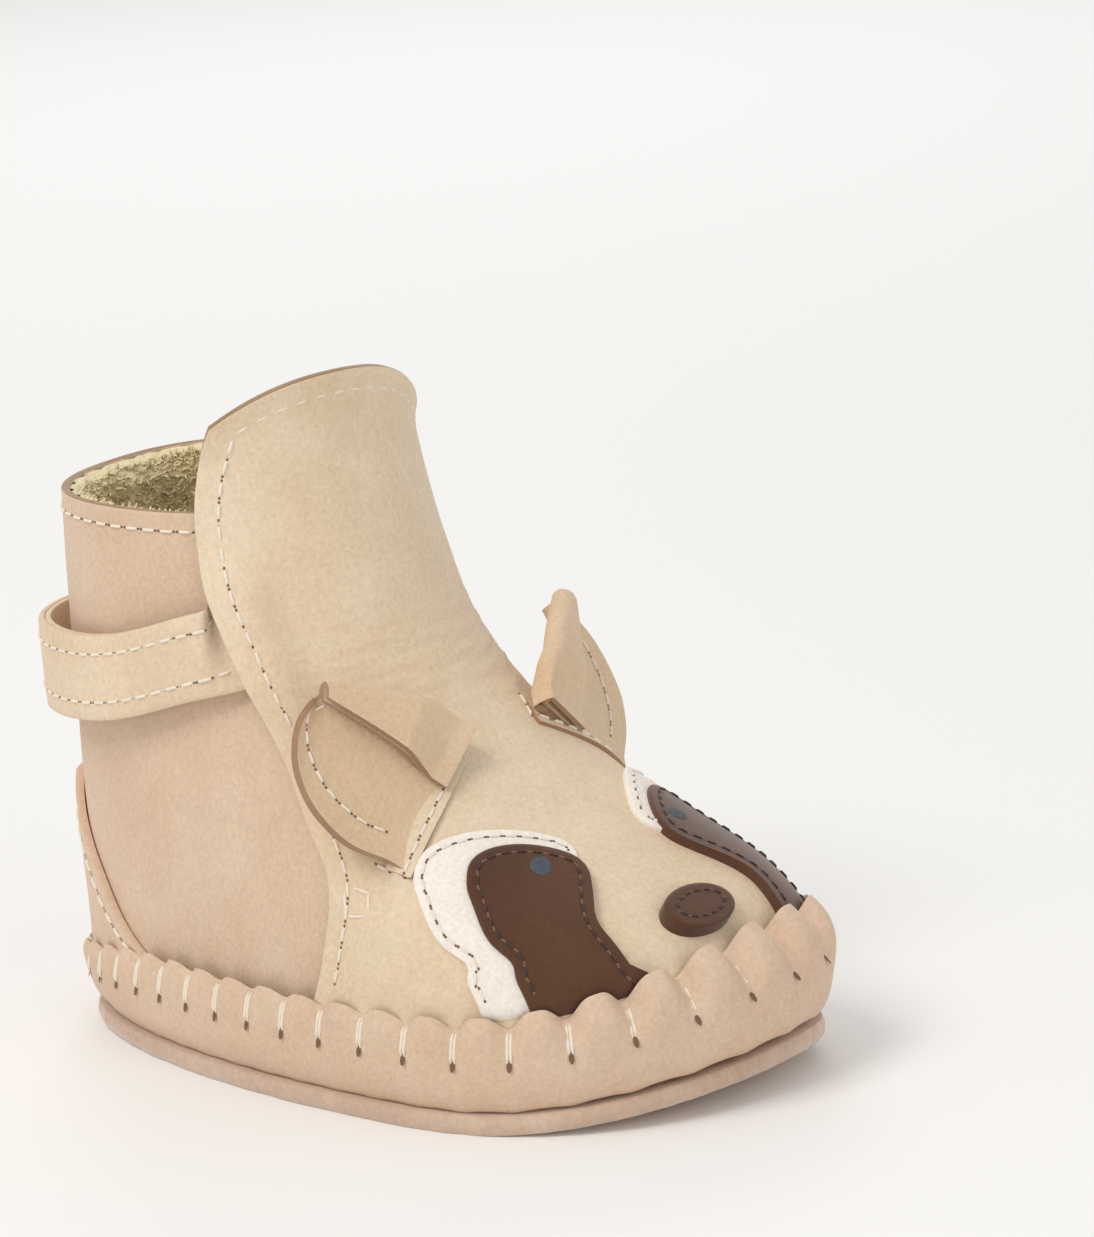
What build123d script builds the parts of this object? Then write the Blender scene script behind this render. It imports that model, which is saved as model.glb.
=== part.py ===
from build123d import *

import math
import os

# A right-foot baby bootie in soft leather, lined with shearling. A moccasin bottom wraps up round the
# foot and is gathered on to the upper with thick hand stitches. The upper is a vamp with an animal
# face and two sewn-in ears, a quarter round the heel, and a tall tongue that folds forward. A strap
# sewn to the tongue's outer edge goes round the heel and closes on the inner side with hook and loop.
# Sizes are in millimetres. The toe points along -Y, the wearer's outer side is -X, and the origin is
# on the ground under the middle of the sole.

os.makedirs("parts", exist_ok=True)

# ---- driving sizes -------------------------------------------------------------------------------
LEATHER = 1.4  # upper leather
LAP_GAP = 0.3  # air between leather layers that slide on each other
PILE = 3.2  # shearling lining with its pile
SOLE = 3.0  # suede outsole
WRAP = 1.5  # moccasin bottom leather
PATCH = 0.8  # one layer of applique on the face
PLY = 1.0  # one layer of strap leather
EAR_PLY = 0.9  # one layer of ear leather

TOE_LIFT = 5.4  # how far the sole curls up at the toe tip
TOE_LIFT_FROM = -29.0  # station where the curl begins
TOE_TIP = -66.0  # just past the toe
HEEL_TIP = 67.0  # just past the heel

SEAM = 17.6  # height of the gathered seam beside the instep
SEAM_TOE = 26.0  # and at the toe tip
SEAM_HEEL = 10.3  # and at the heel
TOPLINE = 90.0  # top edge of the quarter
TONGUE_TOP = 109.5
FOLD_Z = 63.0  # height of the crease where the tongue folds
FOLD_GAP = 0.6
OVERLAP = 8.0  # how far the front panel laps over the quarter
FACE_X = 1.3  # middle plane of the face

STRAP_WIDTH = 13.5
STRAP_CLEAR = 2.0  # air between strap and quarter beside the ankle
STRAP_SLACK = 1.4  # more air behind the heel
HOOK = 0.4  # hook tape
LOOP = 0.4  # loop tape
PEEL_Y = 47.0  # where the closing tab leaves the heel run

THREAD = 0.5
STITCH_PITCH = 3.5
STITCH = 2.6
SEAT = 0.15  # air under a thread, so that it clears the curved leather
ROW_INSET = 3.5  # a stitch row's distance from the leather's edge

# The foot form at a few heights: front reach, back reach, half width, station of the widest point,
# roundness of the toe end, how far the toe bends inwards, and how much the heel narrows.
FORM = [
    # z     front  back  half  widest  round  bend  narrow
    (8.0, -61.0, 62.5, 30.5, -20.0, 2.30, 8.0, 0.15),
    (14.0, -61.0, 62.5, 31.0, -20.0, 2.30, 8.0, 0.15),
    (20.0, -59.0, 62.5, 31.0, -19.0, 2.30, 8.0, 0.15),
    (27.0, -53.5, 62.5, 30.5, -13.5, 2.30, 7.0, 0.13),
    (35.0, -40.0, 62.3, 29.5, -5.5, 2.20, 5.0, 0.10),
    (43.0, -27.5, 62.0, 28.5, 2.5, 2.15, 3.0, 0.08),
    (53.0, -15.2, 61.2, 27.0, 12.5, 2.10, 1.0, 0.05),
    (65.0, -6.0, 60.0, 26.0, 22.0, 2.10, 0.0, 0.02),
    (78.0, -0.8, 58.8, 25.5, 27.5, 2.10, 0.0, 0.0),
    (92.0, 3.2, 57.6, 25.5, 30.5, 2.10, 0.0, 0.0),
    (112.0, 6.4, 58.5, 25.3, 32.5, 2.10, 0.0, 0.0),
]
WRAP_FORM = [
    (0.0, -59.0, 58.0, 29.0, -20.0, 2.30, 8.0, 0.15),
    (5.0, -63.5, 64.0, 33.0, -20.0, 2.30, 8.0, 0.15),
    (12.0, -65.3, 65.5, 34.3, -20.0, 2.30, 8.0, 0.15),
    (18.0, -65.0, 65.0, 34.0, -20.0, 2.30, 8.0, 0.15),
    (23.0, -62.5, 64.5, 33.3, -18.0, 2.30, 8.0, 0.15),
    (28.0, -58.0, 64.0, 32.6, -14.0, 2.30, 8.0, 0.15),
]
FLOOR_FORM = (0, -61.0, 62.5, 31.0, -20.0, 2.30, 8.0, 0.15)
STRAP_FORM = (0, -6.0, 60.0 + STRAP_SLACK, 26.0, 22.0, 2.10, 0.0, 0.02)
HEEL_ROUND = 2.4
OUTLINE_POINTS = 24

# Side view of the front panel's rear edge, from the seam up to the tongue's top corner.
PANEL_EDGE = [
    (1, 8),
    (-6, 25),
    (-7, 36),
    (-1, 46),
    (12, 67),
    (19, 88),
    (18, 99),
    (9, TONGUE_TOP),
]


# ---- shared shapes -------------------------------------------------------------------------------
def outline_point(row, grow, angle):
    """A point of a rounded foot outline: a superellipse in two halves, bent inwards at the toe."""
    _, front, back, half, widest, toe_round, bend, narrow = row
    c, s = math.cos(angle), math.sin(angle)
    power = 2 / (toe_round if c > 0 else HEEL_ROUND)
    along = math.copysign(abs(c) ** power, c)
    across = math.copysign(abs(s) ** power, s)
    reach = widest - front + grow if c > 0 else back - widest + grow
    x = across * (half + grow) * (1 - narrow * max(0.0, -along) ** 1.5)
    return (x + bend * max(0.0, along) ** 2, widest - along * reach)


def outline(row, grow):
    turns = [2 * math.pi * step / OUTLINE_POINTS for step in range(OUTLINE_POINTS)]
    return [outline_point(row, grow, turn) for turn in turns]


def lean_out(rows, index, grow):
    """Move a row's front reach so that a sloping toe grows by the same thickness as the sides."""
    low = rows[max(index - 1, 0)]
    high = rows[min(index + 1, len(rows) - 1)]
    lean = (high[1] - low[1]) / (high[0] - low[0])
    row = rows[index]
    return (row[0], row[1] - grow * (math.hypot(1, lean) - 1), *row[2:])


def form(rows, grow):
    """Solid foot form, grown outwards by the same amount all round."""
    with BuildPart() as solid:
        for index in range(len(rows)):
            with BuildSketch(Plane.XY.offset(rows[index][0])):
                with BuildLine():
                    Spline(*outline(lean_out(rows, index, grow), grow), periodic=True)
                make_face()
        loft()
    return solid.part


def form_row(z, rows=FORM):
    """A form's row at any height, between the listed ones."""
    upper = next(index for index, row in enumerate(rows) if row[0] >= z)
    low, high = rows[upper - 1], rows[upper]
    part = (z - low[0]) / (high[0] - low[0])
    return tuple(a + (b - a) * part for a, b in zip(low, high))


def side_point(side, y, z, grow=0.0):
    """The point of the foot form at a station and height, on the outer (-1) or inner (+1) side."""
    row = form_row(z)
    low, high = 0.0, math.pi
    for _ in range(30):
        angle = (low + high) / 2
        if outline_point(row, grow, angle)[1] < y:
            low = angle
        else:
            high = angle
    return (outline_point(row, grow, side * angle)[0], y, z)


def side_block(points, curve):
    """Block across the whole width whose side view has one curved edge and straight ones."""
    with BuildPart() as block:
        with BuildSketch(Plane.YZ):
            with BuildLine():
                Spline(*curve)
                Polyline(curve[-1], *points, curve[0])
            make_face()
        extrude(amount=60, both=True)
    return block.part


def toe_part(y):
    return max(0.0, (TOE_LIFT_FROM - y) / (TOE_LIFT_FROM - TOE_TIP)) ** 2


def seam_height(y):
    heel = max(0.0, (y - 26) / (HEEL_TIP - 26)) ** 2
    return SEAM + (SEAM_TOE - SEAM) * toe_part(y) + (SEAM_HEEL - SEAM) * heel


def above(height, stations):
    """Everything above a curved line that is given by its height at each station."""
    curve = [(y, height(y)) for y in stations]
    return side_block([(stations[-1], 130), (stations[0], 130)], curve)


def above_sole(height):
    """Everything higher than this above the curled underside."""
    stations = [HEEL_TIP + 3, 20, TOE_LIFT_FROM, -48, TOE_TIP - 3]
    return above(lambda y: TOE_LIFT * toe_part(y) + height, stations)


def above_seam(raise_by):
    return above(lambda y: seam_height(y) + raise_by, [HEEL_TIP + 3, 45, 20, -10, -35, -52, TOE_TIP - 3])


def ahead_of_edge(shift):
    """Everything ahead of the front panel's rear edge, moved back by shift, and below its top."""
    curve = [(y + shift, z) for y, z in PANEL_EDGE]
    return side_block([(-80, TONGUE_TOP), (-80, 8)], curve)


def slab(low, high):
    with BuildPart() as block:
        with Locations((0, 0, low)):
            Box(200, 200, high - low, align=(Align.CENTER, Align.CENTER, Align.MIN))
    return block.part


parts = {}


def finish(node, label):
    node.part.label = label
    export_step(node.part, f"parts/{label}.step")
    parts[label] = node.part


def stitch_rows(label, rows, pitch=STITCH_PITCH, length=STITCH, thread=THREAD, upright=False):
    """A group of short threads: each row is a line near a part, and the threads lie on that part."""
    half = length / pitch / 2
    with BuildPart() as threads:
        for points, support in rows:
            line = Edge.make_spline([Vector(point) for point in points])
            count = round(line.length / pitch)
            for index in range(count):
                places = [(index + 0.5 + shift) / count for shift in (-half, 0, half)]
                start, middle, end = line.positions(places)
                _, near, _ = support.distance_to_with_closest_points(middle)
                normal = (middle - near).normalized()
                seat = near + normal * (thread / 2 + SEAT)
                lie = normal.cross(end - start) if upright else end - start
                with Locations(Plane(origin=seat, x_dir=lie, z_dir=normal)):
                    Box(length, thread, thread)
    finish(threads, label)


# ---- sole, moccasin bottom and footbed -----------------------------------------------------------
def floor_layer(low, thick, grow):
    """A layer under the foot that follows the toe's curl."""
    with BuildPart() as layer:
        with BuildSketch():
            with BuildLine():
                Spline(*outline(FLOOR_FORM, grow), periodic=True)
            make_face()
        extrude(amount=low + thick + TOE_LIFT + 3)
        add(above_sole(low), mode=Mode.INTERSECT)
        add(above_sole(low + thick), mode=Mode.SUBTRACT)
    return layer


BOARD = 1.5
FLEECE = 3.5
BOARD_LOW = SOLE + WRAP
FOOTBED_TOP = BOARD_LOW + BOARD + FLEECE
for name, low, thick, grow in (
    ("outsole", 0.0, SOLE, 1.5),
    ("insole_board", BOARD_LOW, BOARD, -4.0),
    ("footbed_fleece", BOARD_LOW + BOARD, FLEECE, -6.0),
):
    finish(floor_layer(low, thick, grow), name)

with BuildPart() as moccasin_bottom:
    add(form(WRAP_FORM, 0))
    add(above_sole(SOLE), mode=Mode.INTERSECT)
    add(above_seam(0), mode=Mode.SUBTRACT)
    add(form(WRAP_FORM, -WRAP) & above_sole(BOARD_LOW), mode=Mode.SUBTRACT)
finish(moccasin_bottom, "moccasin_bottom")

# ---- the upper's layers --------------------------------------------------------------------------
PANEL_IN = LAP_GAP
PANEL_OUT = LAP_GAP + LEATHER
quarter_skin = form(FORM, 0)
quarter_core = form(FORM, -LEATHER)
cavity = form(FORM, -LEATHER - PILE)
panel_skin = form(FORM, PANEL_OUT)
panel_core = form(FORM, PANEL_IN)
panel_zone = ahead_of_edge(0)
lap_zone = ahead_of_edge(-OVERLAP)
lining_zone = ahead_of_edge(-OVERLAP - LAP_GAP)
over_board = above_sole(BOARD_LOW + BOARD)
over_footbed = above_sole(FOOTBED_TOP + LAP_GAP)
tongue_zone = slab(FOLD_Z + FOLD_GAP / 2, TONGUE_TOP)
vamp_zone = slab(0, FOLD_Z - FOLD_GAP / 2)
quarter_zone = slab(0, TOPLINE)

for name, skin, core, low, cut in (
    ("quarter", quarter_skin, quarter_core, over_board, lap_zone),
    ("quarter_lining", quarter_core, cavity, over_footbed, lap_zone),
):
    with BuildPart() as shell:
        add(skin - core)
        add(low, mode=Mode.INTERSECT)
        add(quarter_zone, mode=Mode.INTERSECT)
        add(cut, mode=Mode.SUBTRACT)
    finish(shell, name)

for name, skin, core, low, keep, zone in (
    ("vamp", panel_skin, panel_core, above_seam(LAP_GAP), panel_zone, vamp_zone),
    ("vamp_lining", panel_core, cavity, over_footbed, lining_zone, vamp_zone),
    ("tongue", panel_skin, panel_core, over_footbed, panel_zone, tongue_zone),
    ("tongue_lining", panel_core, cavity, over_footbed, lining_zone, tongue_zone),
):
    with BuildPart() as shell:
        add(skin - core)
        add(low, mode=Mode.INTERSECT)
        add(keep, mode=Mode.INTERSECT)
        add(zone, mode=Mode.INTERSECT)
    finish(shell, name)

# Heel patch: a second layer of leather low on the heel, its front edge curving down to the seam.
HEEL_PATCH_EDGE = [(64, 44), (57, 38), (50, 27), (42, 18.5), (30, 12.5)]
with BuildPart() as heel_patch:
    add(form(FORM, 0.2 + LEATHER) - form(FORM, 0.2))
    add(side_block([(80, 12.5), (80, 44)], HEEL_PATCH_EDGE), mode=Mode.INTERSECT)
    add(above_seam(LAP_GAP), mode=Mode.INTERSECT)
finish(heel_patch, "heel_patch")

# ---- strap: two plies, with a closing tab on the inner side --------------------------------------
STRAP_IN = STRAP_CLEAR
STRAP_MID = STRAP_CLEAR + PLY
STRAP_OUT = STRAP_CLEAR + 2 * PLY
TAB_TIP = 19.0
PEEL_GAP = 0.4
# Side view of the strap on the outer side: it leaves the tongue high and comes down to the heel.
STRAP_TOP = [(16, 76), (34, 70.5), (70, 67.5)]
STRAP_FRONT_LOW = (10.5, 63)


def strap_side(shrink):
    """Block across the whole width with the strap's side view: two curved edges, a strap's width apart."""
    top = [(y, z - shrink) for y, z in STRAP_TOP]
    low = [(y, z - STRAP_WIDTH + shrink) for y, z in reversed(STRAP_TOP[1:])]
    low.append((STRAP_FRONT_LOW[0], STRAP_FRONT_LOW[1] + shrink))
    with BuildPart() as side:
        with BuildSketch(Plane.YZ):
            with BuildLine():
                Spline(*top)
                Line(top[-1], low[0])
                Spline(*low)
                Line(low[-1], top[0])
            make_face()
        extrude(amount=60, both=True)
    return side.part


def strap_band(inner, outer, shrink=0.0):
    """The strap's wall between two growths of its outline, cut to the strap's slanting width."""
    side = strap_side(shrink)
    with BuildPart() as wall:
        with BuildSketch(Plane.XY.offset(40)):
            for grow, mode in ((outer, Mode.ADD), (inner, Mode.SUBTRACT)):
                with BuildLine():
                    Spline(*outline(STRAP_FORM, grow), periodic=True)
                make_face(mode=mode)
        extrude(amount=50)
        add(side, mode=Mode.INTERSECT)
    return wall.part


def corner_block(low, high):
    with BuildPart() as block:
        with Locations(low):
            Box(*(b - a for a, b in zip(low, high)), align=(Align.MIN, Align.MIN, Align.MIN))
    return block.part


tab_zone = corner_block((5, TAB_TIP, 40), (60, PEEL_Y - PEEL_GAP, 90))
inner_side = corner_block((0, -10, 40), (60, PEEL_Y, 90))
for layer, inner, outer in (("backing", STRAP_IN, STRAP_MID), ("face", STRAP_MID, STRAP_OUT)):
    band = strap_band(inner, outer)
    with BuildPart() as strap_run:
        add(band)
        add(inner_side, mode=Mode.SUBTRACT)
    finish(strap_run, f"strap_{layer}")
    with BuildPart() as strap_tab:
        add(band)
        add(tab_zone, mode=Mode.INTERSECT)
    finish(strap_tab, f"strap_tab_{layer}")

tape_zone = corner_block((5, TAB_TIP + 2, 40), (60, PEEL_Y - 10, 90))
with BuildPart() as hook_tape:
    add(strap_band(STRAP_IN - HOOK, STRAP_IN, 1.5))
    add(tape_zone, mode=Mode.INTERSECT)
finish(hook_tape, "hook_tape")

loop_zone = corner_block((5, TAB_TIP + 1, 57), (60, PEEL_Y - 11, 69))
with BuildPart() as loop_tape:
    add(form(FORM, 0.1 + LOOP) - form(FORM, 0.1))
    add(loop_zone, mode=Mode.INTERSECT)
finish(loop_tape, "loop_tape")

# ---- ears: two leather plies each, sewn into a slit across the vamp --------------------------------
EAR_BASE = 25.0
EAR_LIFT = 2.9  # the ear's base stands this far off the vamp
EAR_LEAN = 30.0  # how far the ear stands off the vamp behind it, in degrees
EAR_EDGE = [(-EAR_BASE / 2, 0), (-10.5, 9), (-1, 20.5), (9, 19), (13, 9), (EAR_BASE / 2, 0)]
EAR_LOW = Vector(-27.0, -15.5, 38.5)  # slit end near the sole, on the outer side
EAR_HIGH = Vector(-7.8, -14.6, 54.6)  # slit end on top


def face_mirror(point):
    return Vector(2 * FACE_X - point.X, point.Y, point.Z)


slit_rows = []
for side, label in ((-1, "outer"), (1, "inner")):
    ends = [EAR_LOW, EAR_HIGH] if side < 0 else [face_mirror(EAR_LOW), face_mirror(EAR_HIGH)]
    along = (ends[1] - ends[0]).normalized()
    middle = (ends[0] + ends[1]) * 0.5
    outwards = (middle - Vector(FACE_X, middle.Y + 14, 26)).normalized()
    back = (outwards.cross(along) * (-side)).normalized()
    outwards = (along.cross(back) * (-side)).normalized()
    lean = math.radians(EAR_LEAN)
    grows = back * math.cos(lean) + outwards * math.sin(lean)
    normal = along.cross(grows) * (-side)
    root = middle + outwards * EAR_LIFT
    for ply, low in (("back", 0.0), ("front", EAR_PLY)):
        with BuildPart() as ear:
            with BuildSketch(Plane(origin=root + normal * low, x_dir=along, z_dir=along.cross(grows))):
                with BuildLine():
                    Line((EAR_BASE / 2, 0), (-EAR_BASE / 2, 0))
                    Spline(*EAR_EDGE)
                make_face()
            extrude(amount=-EAR_PLY * side)
        finish(ear, f"{label}_ear_{ply}")
    front = root + normal * (2 * EAR_PLY + 1)
    row = [front + along * (a * 0.8) + grows * (b * 0.84) for a, b in EAR_EDGE]
    stitch_rows(f"{label}_ear_stitches", [(row, ear.part)])
    slit_rows.append([point + outwards * 3 - back * 3 for point in (ends[0], middle, ends[1])])

# ---- face: a white and a brown applique round each eye, a pupil, and a nose ------------------------
# Plan outlines on the outer side, as few points as the shapes need: the white one is a rounded cap
# over the eye with a tail beside the cheek, and the brown one is a drop that runs down to the seam.
# The inner side is their mirror image in the face's middle plane.
WHITE_EDGE = [(-6, -34), (-12, -27), (-22, -24), (-29, -28), (-32, -36), (-31, -42), (-24, -43)]
BROWN_EDGE = [(-21, -30), (-12, -31), (-8, -37), (-10, -46), (-15, -58), (-29, -44), (-25, -37)]
PUPIL_R = 1.75
PUPIL = (-14, -36)
skins = [form(FORM, PANEL_OUT + step * PATCH) for step in range(3)]
over_seam = above_seam(0.8)
whites = []
browns = []


def face_prism(points, side):
    """A tall block over the face with a closed, smooth plan outline."""
    with BuildPart() as prism:
        with BuildSketch(Plane.XY.offset(15)):
            with BuildLine():
                Spline(*(((x if side < 0 else 2 * FACE_X - x), y) for x, y in points), periodic=True)
            make_face()
        extrude(amount=40)
    return prism.part


for side, label in ((-1, "outer"), (1, "inner")):
    with BuildPart() as white:
        add(skins[1] - skins[0])
        add(over_seam, mode=Mode.INTERSECT)
        add(face_prism(WHITE_EDGE, side), mode=Mode.INTERSECT)
        add(face_prism(BROWN_EDGE, side), mode=Mode.SUBTRACT)
    finish(white, f"{label}_eye_patch_white")
    whites.append(white.part)
    with BuildPart() as brown:
        add(skins[2] - skins[0])
        add(over_seam, mode=Mode.INTERSECT)
        add(face_prism(BROWN_EDGE, side), mode=Mode.INTERSECT)
    finish(brown, f"{label}_eye_patch_brown")
    browns.append(brown.part)


def above_face(x, y):
    """The point just above the applique at a plan position, by halving between the seam and instep."""
    low, high = 18.0, 60.0
    grow = PANEL_OUT + 2 * PATCH + ROW_LIFT
    rows = [lean_out(FORM, index, grow) for index in range(len(FORM))]
    for _ in range(30):
        z = (low + high) / 2
        _, front, _, half, widest, toe_round, bend, _ = form_row(z, rows)
        along = (widest - y) / (widest - front + grow)
        across = abs(x - bend * along**2) / (half + grow)
        if along**toe_round + across**toe_round < 1:
            low = z
        else:
            high = z
    return (x, y, z)


def over_face(points, side):
    """A line of points over the face, mirrored for the inner side."""
    return [above_face(x if side < 0 else 2 * FACE_X - x, y) for x, y in points]


ROW_LIFT = 1.0
WHITE_ROW = [(-10, -29), (-21, -26), (-28, -30), (-30, -36), (-30, -40)]
BROWN_ROW = [(-25, -42), (-22, -36), (-19, -32), (-13, -33), (-10, -37), (-12, -45), (-14, -51)]
white_rows = []
brown_rows = []
for side, white, brown in zip((-1, 1), whites, browns):
    white_rows.append((over_face(WHITE_ROW, side), white))
    brown_rows.append((over_face(BROWN_ROW, side), brown))
stitch_rows("white_patch_stitches", white_rows)
stitch_rows("brown_patch_stitches", brown_rows)


PUPIL_THICK = 0.5
with BuildPart() as pupils:
    for brown, side in zip(browns, (-1, 1)):
        aim = Vector(PUPIL[0] if side < 0 else 2 * FACE_X - PUPIL[0], PUPIL[1] - 2.4, 40)
        _, near, _ = brown.distance_to_with_closest_points(aim)
        normal = (aim - near).normalized()
        with Locations(Plane(origin=near + normal * 0.1, z_dir=normal)):
            Cylinder(PUPIL_R, PUPIL_THICK, align=(Align.CENTER, Align.CENTER, Align.MIN))
finish(pupils, "pupils")

NOSE = (6.0, 3.6)
NOSE_THICK = 2.4
NOSE_DROP = 3.0
nose_aim = Vector(FACE_X, -56.5, 36)
_, nose_near, _ = skins[0].distance_to_with_closest_points(nose_aim)
nose_normal = (nose_aim - nose_near).normalized()
nose_plane = Plane(origin=nose_near + nose_normal * NOSE_THICK, x_dir=(1, 0, 0), z_dir=nose_normal)
with BuildPart() as nose_patch:
    with BuildSketch(nose_plane):
        Ellipse(*NOSE)
    extrude(amount=-NOSE_THICK - NOSE_DROP)
    add(skins[0], mode=Mode.SUBTRACT)
finish(nose_patch, "nose_patch")
NOSE_ROW_SIZE = 0.72
nose_row = []
for step in range(17):
    angle = 2 * math.pi * step / 16
    across = nose_plane.x_dir * NOSE[0] * NOSE_ROW_SIZE * math.cos(angle)
    down = nose_plane.y_dir * NOSE[1] * NOSE_ROW_SIZE * math.sin(angle)
    nose_row.append(nose_plane.origin + across + down + nose_normal)
stitch_rows("nose_stitches", [(nose_row, nose_patch.part)], pitch=2.4, length=1.7)

# ---- machine stitching of the upper --------------------------------------------------------------
OFF_SKIN = PANEL_OUT + 1.5
lower_edge = [point for point in PANEL_EDGE if 19 < point[1] < 60]
upper_edge = [point for point in PANEL_EDGE if 60 < point[1] < 100]


def edge_line(points, side):
    """The line inside the front panel's rear edge on one side."""
    return [side_point(side, y - ROW_INSET, z, OFF_SKIN) for y, z in points]


stitch_rows("vamp_edge_stitches", [(edge_line(lower_edge, side), parts["vamp"]) for side in (-1, 1)])
TONGUE_ROW_TOP = TONGUE_TOP - ROW_INSET
top_row = form_row(TONGUE_ROW_TOP)
across_top = []
for degrees in range(-50, 51, 20):
    across_top.append((*outline_point(top_row, OFF_SKIN, math.radians(degrees)), TONGUE_ROW_TOP))
tongue_line = edge_line(upper_edge, -1) + across_top + edge_line(upper_edge, 1)[::-1]
stitch_rows("tongue_stitches", [(tongue_line, parts["tongue"])])

topline_row = form_row(TOPLINE - ROW_INSET)
topline = []
for degrees in range(76, 285, 16):
    topline.append((*outline_point(topline_row, OFF_SKIN, math.radians(degrees)), TOPLINE - ROW_INSET))
stitch_rows("topline_stitches", [(topline, parts["quarter"])])
heel_line = [(y + ROW_INSET, z + 0.8) for y, z in HEEL_PATCH_EDGE[1:-1]]
heel_rows = []
for side in (-1, 1):
    heel_rows.append(([side_point(side, y, z, OFF_SKIN) for y, z in heel_line], parts["heel_patch"]))
stitch_rows("heel_patch_stitches", heel_rows)


def strap_rows(first, last, step, part):
    """Two rows of stitches round the strap, one inside each edge, between two angles in degrees."""
    rows = []
    for drop in (ROW_INSET, STRAP_WIDTH - ROW_INSET):
        row = []
        for degrees in range(first, last, step):
            x, y = outline_point(STRAP_FORM, STRAP_OUT + 1.5, math.radians(degrees))
            index = next(index for index in range(1, len(STRAP_TOP)) if STRAP_TOP[index][0] >= y)
            (y_low, z_low), (y_high, z_high) = STRAP_TOP[index - 1], STRAP_TOP[index]
            row.append((x, y, z_low + (z_high - z_low) * (y - y_low) / (y_high - y_low) - drop))
        rows.append((row, part))
    return rows


stitch_rows("strap_stitches", strap_rows(272, 128, -12, parts["strap_face"]))
stitch_rows("strap_tab_stitches", strap_rows(116, 90, -6, parts["strap_tab_face"]))


def box_tack(side, y, z, size, part):
    """A small square of stitches that locks the end of an open edge."""
    corners = [(y - size, z - size), (y + size, z - size), (y + size, z + size), (y - size, z + size)]
    rows = []
    for (y1, z1), (y2, z2) in zip(corners, corners[1:] + corners[:1]):
        rows.append(([side_point(side, y1, z1, OFF_SKIN), side_point(side, y2, z2, OFF_SKIN)], part))
    return rows


TACK = 1.9
tacks = box_tack(-1, -14.5, 33, TACK, parts["vamp"]) + box_tack(1, 1.5, 57, TACK, parts["vamp"])
stitch_rows("box_tacks", tacks, pitch=2 * TACK, length=2.4)
stitch_rows("ear_slit_stitches", [(row, parts["vamp"]) for row in slit_rows], pitch=3.0, length=2.2)

# Gathering stitches: one thick loop at each pucker of the moccasin bottom, all round the seam.
GATHER_DROP = 3.4
GATHER_PITCH = 7.2
gather_line = []
for degrees in range(0, 361, 12):
    x, y = outline_point(WRAP_FORM[3], 2.0, math.radians(degrees))
    gather_line.append((x, y, seam_height(y) - GATHER_DROP))
gather_rows = [(gather_line, parts["moccasin_bottom"])]
stitch_rows("gathering_stitches", gather_rows, pitch=GATHER_PITCH, length=3.6, thread=0.8, upright=True)
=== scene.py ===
import math

import bpy
import numpy as np
from mathutils import Matrix, Vector


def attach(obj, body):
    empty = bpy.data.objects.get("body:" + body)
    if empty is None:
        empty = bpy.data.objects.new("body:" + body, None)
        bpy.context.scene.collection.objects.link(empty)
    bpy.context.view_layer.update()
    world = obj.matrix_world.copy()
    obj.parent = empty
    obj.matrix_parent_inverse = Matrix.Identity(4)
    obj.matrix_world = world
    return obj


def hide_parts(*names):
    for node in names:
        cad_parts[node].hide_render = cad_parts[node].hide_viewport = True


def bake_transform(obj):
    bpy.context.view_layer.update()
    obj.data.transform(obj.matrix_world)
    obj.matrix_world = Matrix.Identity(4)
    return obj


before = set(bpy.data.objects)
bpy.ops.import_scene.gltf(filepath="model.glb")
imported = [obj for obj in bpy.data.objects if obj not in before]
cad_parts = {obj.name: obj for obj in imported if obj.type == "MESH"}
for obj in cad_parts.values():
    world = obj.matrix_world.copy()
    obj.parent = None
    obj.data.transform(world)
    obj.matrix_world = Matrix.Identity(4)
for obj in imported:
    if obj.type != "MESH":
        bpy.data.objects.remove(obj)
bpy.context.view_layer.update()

# ---- camera, lights and floor -------------------------------------------------------------------
# A long lens looks down on the bootie from its outer side and a little ahead. Two large soft boxes
# and a bright room keep the shadows pale, and the floor is plain white card.
MM = 0.001
AIM = Vector((15.7, -16.3, 67.2)) * MM
DISTANCE = 0.9
AZIMUTH, ELEVATION, ROLL = math.radians(-52.12), math.radians(14.31), math.radians(-4.03)

back = Vector((
    math.sin(AZIMUTH) * math.cos(ELEVATION),
    -math.cos(AZIMUTH) * math.cos(ELEVATION),
    math.sin(ELEVATION),
))
level = Vector((math.cos(AZIMUTH), math.sin(AZIMUTH), 0))
upright = back.cross(level)
right = level * math.cos(ROLL) + upright * math.sin(ROLL)
up = upright * math.cos(ROLL) - level * math.sin(ROLL)
lens = bpy.data.cameras.new("camera")
lens.lens = 168.9
lens.clip_end = 20
camera = bpy.data.objects.new("camera", lens)
spot = AIM + back * DISTANCE
camera.matrix_world = Matrix((
    (right.x, up.x, back.x, spot.x),
    (right.y, up.y, back.y, spot.y),
    (right.z, up.z, back.z, spot.z),
    (0, 0, 0, 1),
))
bpy.context.collection.objects.link(camera)
bpy.context.scene.camera = camera


def soft_box(name, place, size, watts, colour):
    """A square area light at a place in metres, turned to the middle of the bootie."""
    lamp = bpy.data.lights.new(name, "AREA")
    lamp.size = size
    lamp.energy = watts
    lamp.color = colour
    holder = bpy.data.objects.new(name, lamp)
    holder.location = place
    holder.rotation_euler = (Vector((0, 0, 0.05)) - Vector(place)).to_track_quat("-Z", "Y").to_euler()
    bpy.context.collection.objects.link(holder)


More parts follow.
